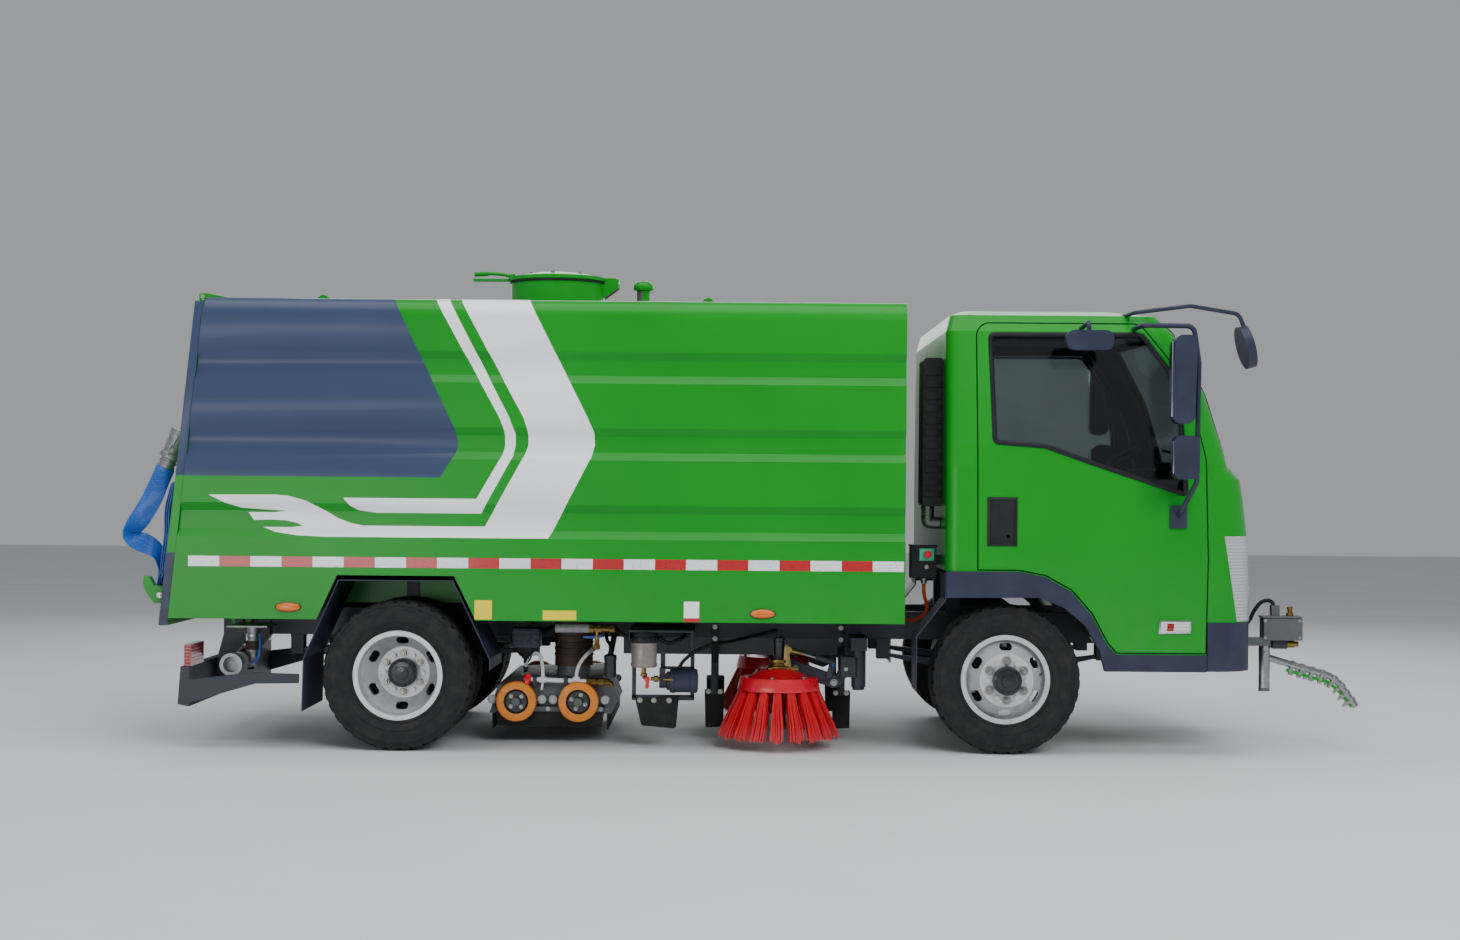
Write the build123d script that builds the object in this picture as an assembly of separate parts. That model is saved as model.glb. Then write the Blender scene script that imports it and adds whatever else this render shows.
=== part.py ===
from build123d import *
import math
import os

# Electric street sweeper truck, modelled in millimetres.
# +X is forward, +Y is the truck's left, +Z is up, and the tyres stand on Z = 0.

# Wheels and axles
WHEELBASE = 2950
REAR_AXLE_X = -1686
FRONT_AXLE_X = REAR_AXLE_X + WHEELBASE
TYRE_RADIUS = 364
TYRE_WIDTH = 215
RIM_SEAT_RADIUS = 203
RIM_FLANGE_RADIUS = 220
RIM_WIDTH = 152
RIM_WALL = 9
DISC_OFFSET = 125
DISC_THICK = 14
HUB_RADIUS = 68
STUD_CIRCLE_RADIUS = 95
STUD_COUNT = 6
STUD_RADIUS = 11
HAND_HOLES = 6
FRONT_WHEEL_Y = 770
REAR_OUTER_WHEEL_Y = 822
TWIN_SPACING = 2 * DISC_OFFSET + 0.0
KINGPIN_Y = 640
AXLE_Z = TYRE_RADIUS

# Ladder frame
FRAME_HALF_WIDTH = 350
RAIL_WIDTH = 60
RAIL_HEIGHT = 140
RAIL_WALL = 8
RAIL_TOP = 660
RAIL_BACK = REAR_AXLE_X - 978
RAIL_FRONT = FRONT_AXLE_X + 1042
SPRING_WIDTH = 60
SPRING_THICK = 42
MOTOR_MEMBER_X = REAR_AXLE_X + 282

# Cab
CAB_BACK = FRONT_AXLE_X - 299
CAB_HALF_WIDTH = 930
CAB_WALL = 45
CAB_FLOOR_OVER_WHEEL = 893
CAB_SILL = 497
CAB_ROOF = 2169
BUMPER_FRONT = FRONT_AXLE_X + 1244
BUMPER_BACK = FRONT_AXLE_X + 963
BUMPER_TOP = 655
BUMPER_BOTTOM = 418
BUMPER_WALL = 60
DOOR_THICK = 55
DOOR_GAP = 6
DOOR_DEPTH = 158
DOOR_REACH = CAB_HALF_WIDTH - DOOR_DEPTH
DOOR_HINGE_X = FRONT_AXLE_X + 922
DOOR_HINGE_Y = CAB_HALF_WIDTH - 12
DOOR_HINGE_HEIGHTS = (760, 1235)
DOOR_PIN_RADIUS = 4
PIN_CLEARANCE = 0.1
GLASS_THICK = 6
CAB_FAR = BUMPER_FRONT + 200
SCREEN_BEHIND = FRONT_AXLE_X + 312
NOSE_BEHIND = FRONT_AXLE_X + 1012
TUNNEL_HALF_WIDTH = 400
TUNNEL_TOP = 720

# Hopper
HOPPER_HALF_WIDTH = 950
HOPPER_FRONT = FRONT_AXLE_X - 500
HOPPER_BOTTOM = 636
HOPPER_TOP = 2190
HOPPER_WALL = 40
HOPPER_FLOOR = 690
HOPPER_CORNER = 90
HOPPER_REAR_TOP = REAR_AXLE_X - 942
HOPPER_REAR_BOTTOM = REAR_AXLE_X - 1103
GROOVE_DEPTH = 24
GROOVE_SLOPE = 38
TAILGATE_THICK = 40
TIP_PIVOT_X = REAR_AXLE_X - 878
TIP_PIVOT_Z = 590

HOIST_BASE_X = REAR_AXLE_X - 538
HOIST_BASE_Z = 480
HOIST_EYE_X = REAR_AXLE_X + 62
HOIST_EYE_Z = 640
HOIST_BARREL_RADIUS = 42
HOIST_ROD_RADIUS = 26

FIT = 0.3


def side_prism(face, y_low, y_high):
    """A face drawn in X and Z, pulled from y_low to y_high."""
    return extrude(Plane.XZ.offset(-y_high) * face, amount=y_high - y_low)


def front_prism(face, x_low, x_high):
    """A face drawn in Y and Z, pulled from x_low to x_high."""
    return extrude(Plane.YZ.offset(x_low) * face, amount=x_high - x_low)


def plan_prism(face, z_low, z_high):
    """A face drawn in X and Y, pulled from z_low to z_high."""
    return extrude(Plane.XY.offset(z_low) * face, amount=z_high - z_low)


def outline(points):
    """A flat face from corner points."""
    return make_face(Polyline(*points, close=True))


def box_corners(x_low, x_high, z_low, z_high):
    return [(x_low, z_low), (x_high, z_low), (x_high, z_high), (x_low, z_high)]


def ahead_of_axle(points):
    """Points given as distance ahead of the front axle and height."""
    return [(FRONT_AXLE_X + ahead, height) for ahead, height in points]


def rounded(points, radius):
    """A flat face from corner points, every corner rounded alike."""
    face = outline(points)
    return fillet(face.vertices(), radius)


def block(x_low, x_high, y_low, y_high, z_low, z_high):
    centre = ((x_low + x_high) / 2, (y_low + y_high) / 2, (z_low + z_high) / 2)
    return Pos(*centre) * Box(x_high - x_low, y_high - y_low, z_high - z_low)


def rod(start, end, radius):
    """A round bar between two points."""
    start, end = Vector(*start), Vector(*end)
    length = (end - start).length
    plane = Plane(origin=start, z_dir=end - start)
    return plane * Cylinder(radius, length, align=(Align.CENTER, Align.CENTER, Align.MIN))


def cross_disc(x, z, y_low, y_high, radius):
    """A round disc whose axis runs along Y."""
    return rod((x, y_low, z), (x, y_high, z), radius)


def bent_tube(points, bend, radius):
    """A round tube along straight runs joined by bends."""
    path = FilletPolyline(*points, radius=bend)
    start = Plane(origin=path @ 0, z_dir=path % 0)
    return sweep(start * Circle(radius), path=path)


def both_sides(shape):
    """A piece on the right and its mirror image on the left, as one node."""
    return Compound(children=[*shape.solids(), *mirror(shape, about=Plane.XZ).solids()])


def left_of(shape):
    return mirror(shape, about=Plane.XZ)


PARTS = {}


def keep(name, shape):
    PARTS[name] = shape


# Wheels


def turned(points, x, z):
    """A profile of (radius, y) corners, turned about the axis along Y through x and z."""
    face = outline([(radius, y) for radius, y in points])
    ring = revolve(Plane.XY * face, axis=Axis.Y)
    return Pos(x, 0, z) * ring


def tyre(x, y):
    half = TYRE_WIDTH / 2
    bead = RIM_WIDTH / 2
    tread = half * 0.84
    # columns: radius, side offset
    profile = [
        (RIM_SEAT_RADIUS, -bead + FIT),
        (RIM_FLANGE_RADIUS, -bead + FIT),
        (RIM_FLANGE_RADIUS + 8, -bead - 14),
        (292, -half),
        (336, -half + 4),
        (TYRE_RADIUS - 10, -tread - 6),
        (TYRE_RADIUS, -tread + 8),
        (TYRE_RADIUS, tread - 8),
        (TYRE_RADIUS - 10, tread + 6),
        (336, half - 4),
        (292, half),
        (RIM_FLANGE_RADIUS + 8, bead + 14),
        (RIM_FLANGE_RADIUS, bead - FIT),
        (RIM_SEAT_RADIUS, bead - FIT),
    ]
    return turned([(radius, y + side) for radius, side in profile], x, AXLE_Z)


def rim(x, y, outward):
    """A steel wheel whose dished disc stands off its middle towards outward (+1 or -1)."""
    bead = RIM_WIDTH / 2
    seat = RIM_SEAT_RADIUS - FIT
    inner = seat - RIM_WALL
    barrel = turned(
        [
            (inner, y - bead - 8),
            (RIM_FLANGE_RADIUS, y - bead - 8),
            (RIM_FLANGE_RADIUS, y - bead),
            (seat, y - bead),
            (seat, y + bead),
            (RIM_FLANGE_RADIUS, y + bead),
            (RIM_FLANGE_RADIUS, y + bead + 8),
            (inner, y + bead + 8),
        ],
        x,
        AXLE_Z,
    )
    face = y + outward * DISC_OFFSET
    back = face - outward * DISC_THICK
    root = y + outward * 30
    disc = turned(
        [
            (30, face),
            (130, face),
            (inner + 2, root),
            (inner + 2, root - outward * DISC_THICK),
            (126, back),
            (30, back),
        ],
        x,
        AXLE_Z,
    )
    wheel = barrel + disc
    for index in range(HAND_HOLES):
        angle = 360 / HAND_HOLES * (index + 0.5)
        hole = Rot(0, 0, 0) * SlotOverall(62, 34)
        place = Location((x, y, AXLE_Z)) * Location((0, 0, 0), (0, angle, 0))
        cutter = place * (Pos(160, 0, 0) * Rot(90, 0, 0) * extrude(Rot(0, 0, 90) * hole, amount=170, both=True))
        wheel -= cutter
    return wheel


def hub(x, y_face, outward, length_in, cap):
    """The hub behind a wheel disc with its nuts and its cap in front."""
    inside = y_face - outward * (DISC_THICK + length_in)
    body = rod((x, inside, AXLE_Z), (x, y_face, AXLE_Z), 78)
    body += rod((x, y_face, AXLE_Z), (x, y_face + outward * cap, AXLE_Z), HUB_RADIUS)
    for index in range(STUD_COUNT):
        angle = math.radians(360 / STUD_COUNT * index)
        stud_x = x + STUD_CIRCLE_RADIUS * math.cos(angle)
        stud_z = AXLE_Z + STUD_CIRCLE_RADIUS * math.sin(angle)
        body += rod(
            (stud_x, y_face - outward * 4, stud_z), (stud_x, y_face + outward * 22, stud_z), STUD_RADIUS
        )
    return body


STUB_RADIUS = 28


def front_wheel():
    """The right front wheel, its disc out at the side."""
    y = -FRONT_WHEEL_Y
    keep("front_tyre_right", tyre(FRONT_AXLE_X, y))
    keep("front_tyre_left", left_of(PARTS["front_tyre_right"]))
    face = y - DISC_OFFSET
    wheel = rim(FRONT_AXLE_X, y, -1) + hub(FRONT_AXLE_X, face, -1, 62, 46)
    bore = rod((FRONT_AXLE_X, 0, AXLE_Z), (FRONT_AXLE_X, face + 20, AXLE_Z), STUB_RADIUS + 0.5)
    wheel -= bore
    keep("front_rim_right", wheel)
    keep("front_rim_left", left_of(wheel))


def rear_wheels():
    """The right rear twin wheels, bolted disc to disc on one hub."""
    outer = -REAR_OUTER_WHEEL_Y
    inner = outer + TWIN_SPACING
    tyres = Compound(
        children=[*tyre(REAR_AXLE_X, outer).solids(), *tyre(REAR_AXLE_X, inner).solids()]
    )
    keep("rear_tyres_right", tyres)
    keep("rear_tyres_left", left_of(tyres))
    face = outer + DISC_OFFSET
    wheel = rim(REAR_AXLE_X, outer, 1) + rim(REAR_AXLE_X, inner, -1)
    wheel += hub(REAR_AXLE_X, face - DISC_THICK, -1, 60, 60)
    wheel -= rod(
        (REAR_AXLE_X, 0, AXLE_Z), (REAR_AXLE_X, face - DISC_THICK + 20, AXLE_Z), AXLE_TUBE_RADIUS + 0.5
    )
    keep("rear_rims_right", wheel)
    keep("rear_rims_left", left_of(wheel))


AXLE_TUBE_RADIUS = 55


def knuckle():
    """Yoke round the axle beam's end, with kingpin, stub and back plate."""
    x, y = FRONT_AXLE_X, -KINGPIN_Y
    upper = block(x - 42, x + 42, y - 60, y + 42, AXLE_Z + 35 + FIT, AXLE_Z + 65)
    lower = block(x - 42, x + 42, y - 60, y + 42, AXLE_Z - 65, AXLE_Z - 35 - FIT)
    web = block(x - 42, x + 42, y - 72, y - 45, AXLE_Z - 65, AXLE_Z + 65)
    piece = upper + lower + web
    piece += rod((x, y, AXLE_Z - 65), (x, y, AXLE_Z + 80), 14)
    piece += rod((x, y - 70, AXLE_Z), (x, y - 84, AXLE_Z), 150)
    piece += rod((x, y - 70, AXLE_Z), (x, -FRONT_WHEEL_Y - DISC_OFFSET + 22, AXLE_Z), STUB_RADIUS)
    piece += block(x - 190, x - 30, y - 20, y + 20, AXLE_Z - 65, AXLE_Z - 45)
    keep("knuckle_right", piece)
    keep("knuckle_left", left_of(piece))


def leaf_spring(x, y, half_length, z_seat, rise):
    """A leaf pack arched down to its axle, with an eye at each end."""
    top = z_seat + SPRING_THICK
    curve = ThreePointArc((x - half_length, z_seat + rise + 12), (x, z_seat), (x + half_length, z_seat + rise + 12))
    upper = ThreePointArc((x + half_length, z_seat + rise + 24), (x, top), (x - half_length, z_seat + rise + 24))
    sides = [
        Line(curve @ 1, upper @ 0),
        Line(upper @ 1, curve @ 0),
    ]
    pack = side_prism(make_face([curve, sides[0], upper, sides[1]]), y - SPRING_WIDTH / 2, y + SPRING_WIDTH / 2)
    for end in (-1, 1):
        eye_x = x + end * half_length
        pack += cross_disc(eye_x, z_seat + rise + 24, y - SPRING_WIDTH / 2, y + SPRING_WIDTH / 2, 22)
    return pack


SPRING_Y = FRAME_HALF_WIDTH - RAIL_WIDTH / 2
FRONT_SPRING_HALF = 560
REAR_SPRING_HALF = 600
FRONT_SPRING_RISE = 60
REAR_SPRING_RISE = 8
SPRING_EYE_RADIUS = 22
FRONT_SPRING_SEAT = AXLE_Z + 2
REAR_SPRING_SEAT = AXLE_Z + AXLE_TUBE_RADIUS


def front_axle():
    x = FRONT_AXLE_X
    beam = block(x - 35, x + 35, -SPRING_Y - 60, SPRING_Y + 60, FRONT_SPRING_SEAT - 62, FRONT_SPRING_SEAT)
    for side in (-1, 1):
        end = side * KINGPIN_Y
        arm = outline(
            [
                (side * (SPRING_Y + 50), FRONT_SPRING_SEAT - 62),
                (side * (KINGPIN_Y - 75), AXLE_Z - 35),
                (end, AXLE_Z - 35),
                (end, AXLE_Z + 35),
                (side * (SPRING_Y + 50), FRONT_SPRING_SEAT),
            ]
        )
        beam += front_prism(arm, x - 30, x + 30)
        beam += rod((x, end, AXLE_Z - 35), (x, end, AXLE_Z + 35), 36)
        beam -= rod((x, end, AXLE_Z - 40), (x, end, AXLE_Z + 40), 14.5)
        beam += leaf_spring(x, side * SPRING_Y, FRONT_SPRING_HALF, FRONT_SPRING_SEAT, FRONT_SPRING_RISE)
    keep("front_axle", beam)


def rear_axle():
    x = REAR_AXLE_X
    reach = REAR_OUTER_WHEEL_Y - DISC_OFFSET + DISC_THICK - 22
    body = rod((x, -reach, AXLE_Z), (x, reach, AXLE_Z), AXLE_TUBE_RADIUS)
    body += Pos(x, 0, AXLE_Z) * Sphere(150)
    body += rod((x, 0, AXLE_Z), (x + 210, 0, AXLE_Z), 70)
    for side in (-1, 1):
        body += rod((x, side * 520, AXLE_Z), (x, side * 575, AXLE_Z), 165)
        body += leaf_spring(x, side * SPRING_Y, REAR_SPRING_HALF, REAR_SPRING_SEAT, REAR_SPRING_RISE)
    keep("rear_axle", body)


# Ladder frame


def frame():
    half = RAIL_WIDTH
    bottom = RAIL_TOP - RAIL_HEIGHT
    channel = outline(
        [
            (-FRAME_HALF_WIDTH, bottom),
            (-FRAME_HALF_WIDTH + half, bottom),
            (-FRAME_HALF_WIDTH + half, bottom + RAIL_WALL),
            (-FRAME_HALF_WIDTH + RAIL_WALL, bottom + RAIL_WALL),
            (-FRAME_HALF_WIDTH + RAIL_WALL, RAIL_TOP - RAIL_WALL),
            (-FRAME_HALF_WIDTH + half, RAIL_TOP - RAIL_WALL),
            (-FRAME_HALF_WIDTH + half, RAIL_TOP),
            (-FRAME_HALF_WIDTH, RAIL_TOP),
        ]
    )
    rail = front_prism(channel, RAIL_BACK, RAIL_FRONT)
    ladder = rail + left_of(rail)
    inside = FRAME_HALF_WIDTH - RAIL_WALL
    members = (
        TIP_PIVOT_X - 20,
        HOIST_BASE_X - 60,
        MOTOR_MEMBER_X,
        BRUSH_PIVOT_X + 72,
        FRONT_AXLE_X + 312,
        RAIL_FRONT - 40,
    )
    for x in members:
        ladder += block(x - 35, x + 35, -inside, inside, bottom + RAIL_WALL, RAIL_TOP - RAIL_WALL)
    tail_cut = outline(
        [
            (TIP_PIVOT_X - 58, RAIL_TOP),
            (RAIL_BACK, RAIL_TOP - 44),
            (RAIL_BACK - 10, RAIL_TOP + 20),
            (TIP_PIVOT_X - 58, RAIL_TOP + 20),
        ]
    )
    ladder -= side_prism(tail_cut, -FRAME_HALF_WIDTH - 10, FRAME_HALF_WIDTH + 10)
    # columns: axle x, half length of the spring, seat height, eye rise
    springs = (
        (FRONT_AXLE_X, FRONT_SPRING_HALF, FRONT_SPRING_SEAT + FRONT_SPRING_RISE),
        (REAR_AXLE_X, REAR_SPRING_HALF, REAR_SPRING_SEAT + REAR_SPRING_RISE),
    )
    for axle_x, half_length, rise in springs:
        for end in (-1, 1):
            for side in (-1, 1):
                x = axle_x + end * half_length
                y = side * SPRING_Y
                reach = SPRING_WIDTH / 2 + FIT + 10
                ladder += block(x - 34, x + 34, y - reach, y + reach, bottom - 12, bottom)
                for cheek in (-1, 1):
                    middle = y + cheek * (reach - 5)
                    ladder += block(x - 32, x + 32, middle - 5, middle + 5, rise - 6, bottom - 12)
    ladder += tip_hinge_lugs()
    ladder += cab_mounts()
    ladder += hoist_base()
    keep("frame", ladder)




def hoist_base():
    """Two cheeks on the crossmember with the pin that carries the hoist's barrel."""
    cheeks = None
    for side in (-1, 1):
        y = side * (HOIST_BARREL_RADIUS + 11)
        cheek = block(HOIST_BASE_X - 30, HOIST_BASE_X + 26, y - 6, y + 6, HOIST_BASE_Z - 26, HOIST_BASE_Z + 90)
        cheeks = cheek if cheeks is None else cheeks + cheek
    reach = HOIST_BARREL_RADIUS + 17
    return cheeks + cross_disc(HOIST_BASE_X, HOIST_BASE_Z, -reach, reach, 12)


def hoist():
    """Barrel and rod of the tipping hoist, drawn in."""
    base, eye = Vector(HOIST_BASE_X, 0, HOIST_BASE_Z), Vector(HOIST_EYE_X, 0, HOIST_EYE_Z)
    along = (eye - base).normalized()
    length = (eye - base).length
    barrel = cross_disc(HOIST_BASE_X, HOIST_BASE_Z, -39, 39, 36)
    barrel += rod(base + along * 34, base + along * (length - 110), HOIST_BARREL_RADIUS)
    barrel -= cross_disc(HOIST_BASE_X, HOIST_BASE_Z, -60, 60, 12.1)
    barrel -= rod(base + along * 60, base + along * length, HOIST_ROD_RADIUS + 0.3)
    keep("hoist_barrel", barrel)
    ram = rod(base + along * 70, eye, HOIST_ROD_RADIUS) + cross_disc(HOIST_EYE_X, HOIST_EYE_Z, -20, 20, 28)
    ram -= cross_disc(HOIST_EYE_X, HOIST_EYE_Z, -30, 30, 12)
    keep("hoist_rod", ram)


def hoist_head():
    """Two cheeks under the hopper's floor, one each side of the hoist rod's eye."""
    cheeks = None
    for side in (-1, 1):
        y = side * 36
        cheek = block(HOIST_EYE_X - 30, HOIST_EYE_X + 30, y - 8, y + 8, HOIST_EYE_Z - 20, HOPPER_FLOOR)
        cheeks = cheek if cheeks is None else cheeks + cheek
    return cheeks


def tip_hinge_lugs():
    """Upright plates at the frame's tail that carry the hopper's hinge pin."""
    lugs = []
    for side in (-1, 1):
        y = side * (FRAME_HALF_WIDTH + 12)
        plate = outline(
            [
                (TIP_PIVOT_X - 90, 520),
                (TIP_PIVOT_X + 140, 520),
                (TIP_PIVOT_X + 140, 600),
                (TIP_PIVOT_X + 30, 640),
                (TIP_PIVOT_X - 40, 640),
            ]
        )
        lugs.append(side_prism(plate, y - 12, y + 12))
    pin = rod(
        (TIP_PIVOT_X, -FRAME_HALF_WIDTH - 90, TIP_PIVOT_Z), (TIP_PIVOT_X, FRAME_HALF_WIDTH + 90, TIP_PIVOT_Z), 20
    )
    return lugs[0] + lugs[1] + pin


def cab_mounts():
    mounts = []
    for side in (-1, 1):
        y = side * (FRAME_HALF_WIDTH - RAIL_WIDTH / 2)
        mounts.append(block(CAB_BACK + 60, CAB_BACK + 130, y - 28, y + 28, RAIL_TOP, CAB_FLOOR_OVER_WHEEL))
        mounts.append(block(FRONT_AXLE_X + 662, FRONT_AXLE_X + 742, y - 28, y + 28, RAIL_TOP, TUNNEL_TOP))
    return mounts[0] + mounts[1] + mounts[2] + mounts[3]


# Cab

# columns: height, front face ahead of the front axle, lean of the side, corner radius in plan, bow of the front
CAB_SECTIONS = (
    (CAB_SILL, 1246, 0, 200, 40),
    (664, 1248, 0, 200, 40),
    (1011, 1239, 0, 200, 40),
    (1269, 1211, 0, 190, 45),
    (1345, 1198, 0, 170, 50),
    (1400, 1141, 1, 130, 60),
    (1508, 1110, 8, 125, 60),
    (1763, 1025, 34, 120, 55),
    (2060, 862, 68, 110, 45),
    (2140, 780, 104, 110, 40),
    (CAB_ROOF, 602, 230, 110, 30),
)


def plan_section(back, front, half_width, corner, bow, back_corner=60):
    """One level outline of the cab: straight sides, round corners and a bowed front."""
    shoulder = front - bow
    inner = half_width - corner
    cut = corner * (1 - math.sqrt(0.5))
    back_cut = back_corner * (1 - math.sqrt(0.5))
    edges = []
    edges.append(Line((back, -half_width + back_corner), (back, half_width - back_corner)))
    edges.append(
        ThreePointArc(
            (back, half_width - back_corner),
            (back + back_cut, half_width - back_cut),
            (back + back_corner, half_width),
        )
    )
    edges.append(Line((back + back_corner, half_width), (shoulder - corner, half_width)))
    edges.append(
        ThreePointArc((shoulder - corner, half_width), (shoulder - cut, half_width - cut), (shoulder, inner))
    )
    edges.append(ThreePointArc((shoulder, inner), (front, 0), (shoulder, -inner)))
    edges.append(
        ThreePointArc((shoulder, -inner), (shoulder - cut, -half_width + cut), (shoulder - corner, -half_width))
    )
    edges.append(Line((shoulder - corner, -half_width), (back + back_corner, -half_width)))
    edges.append(
        ThreePointArc(
            (back + back_corner, -half_width),
            (back + back_cut, -half_width + back_cut),
            (back, -half_width + back_corner),
        )
    )
    return make_face(edges)


def cab_volume(inset):
    """The cab's outer form drawn inwards on every side, before its doors and arches."""
    faces = []
    top = len(CAB_SECTIONS) - 1
    for index, (height, front, lean, corner, bow) in enumerate(CAB_SECTIONS):
        z = height
        half_width = CAB_HALF_WIDTH - lean - inset
        back = CAB_BACK + inset
        if index == 0:
            z += inset
        if height > 1800:
            z -= inset * 0.8
        if index == top:
            back += 90
            z = height - inset
        if height == 2140:
            back += 20
        face = plan_section(back, FRONT_AXLE_X + front - inset, half_width, max(corner - inset, 60), bow)
        faces.append(Plane.XY.offset(z) * face)
    return loft(faces, ruled=True)


def arch_profile(grow):
    """The cab's underside over the front wheel, as a cutter seen from the side."""
    points = [
        (CAB_BACK - 200, CAB_SILL - 200),
        (FRONT_AXLE_X + 524 + grow, CAB_SILL - 200),
        (FRONT_AXLE_X + 524 + grow, CAB_SILL),
        (FRONT_AXLE_X + 476 + grow, 547 + grow * 0.2),
        (FRONT_AXLE_X + 402 + grow, 688 + grow * 0.4),
        (FRONT_AXLE_X + 304 + grow * 0.7, 799 + grow * 0.7),
        (FRONT_AXLE_X + 177 + grow * 0.3, 869 + grow),
        (FRONT_AXLE_X + 48, CAB_FLOOR_OVER_WHEEL + grow),
        (CAB_BACK - 200, CAB_FLOOR_OVER_WHEEL + grow),
    ]
    return outline(points)


# columns: distance ahead of the front axle, height
DOOR_OUTLINE = (
    (-151, 897),
    (-160, 2104),
    (640, 2104),
    (800, 1905),
    (905, 1650),
    (954, 1445),
    (968, 958),
    (960, 501),
    (524, 501),
    (480, 551),
    (404, 692),
    (306, 803),
    (179, 873),
    (50, 897),
)
DOOR_TOP_CORNER = 70
HANDLE_X = FRONT_AXLE_X - 32


def door_face(shrink):
    face = outline(ahead_of_axle(DOOR_OUTLINE))
    corners = [v for v in face.vertices() if v.Y > 2000]
    face = fillet(corners, DOOR_TOP_CORNER)
    if shrink:
        face = offset(face, -shrink)
    return face


# columns: distance ahead of the front axle, height
WINDOW_OUTLINE = (
    (-89, 2043),
    (-69, 1518),
    (173, 1501),
    (395, 1423),
    (855, 1271),
    (832, 1620),
    (777, 1872),
    (647, 2047),
)


def window_face(shrink):
    face = outline(ahead_of_axle(WINDOW_OUTLINE))
    face = fillet(face.vertices().sort_by(Axis.Y)[-2:], 45)
    face = fillet(face.vertices().sort_by(Axis.Y)[:1], 18)
    if shrink:
        face = offset(face, -shrink)
    return face


WINDSCREEN = ((-735, 1432), (735, 1432), (690, 2078), (-690, 2078))
REAR_WINDOW = ((-470, 1480), (470, 1480), (470, 1830), (-470, 1830))


def bumper_ring(z_low, z_high, outside, inside, x_back):
    """The band between two level outlines round the cab's nose."""
    ring = plan_prism(
        plan_section(CAB_BACK, BUMPER_FRONT + outside, CAB_HALF_WIDTH + 6 + outside, 200, 40), z_low, z_high
    )
    ring -= plan_prism(
        plan_section(CAB_BACK + 100, BUMPER_FRONT - inside, CAB_HALF_WIDTH + 6 - inside, 150, 40),
        z_low - 1,
        z_high + 1,
    )
    return ring & block(x_back, BUMPER_FRONT + 200, -1200, 1200, z_low - 5, z_high + 5)


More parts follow.
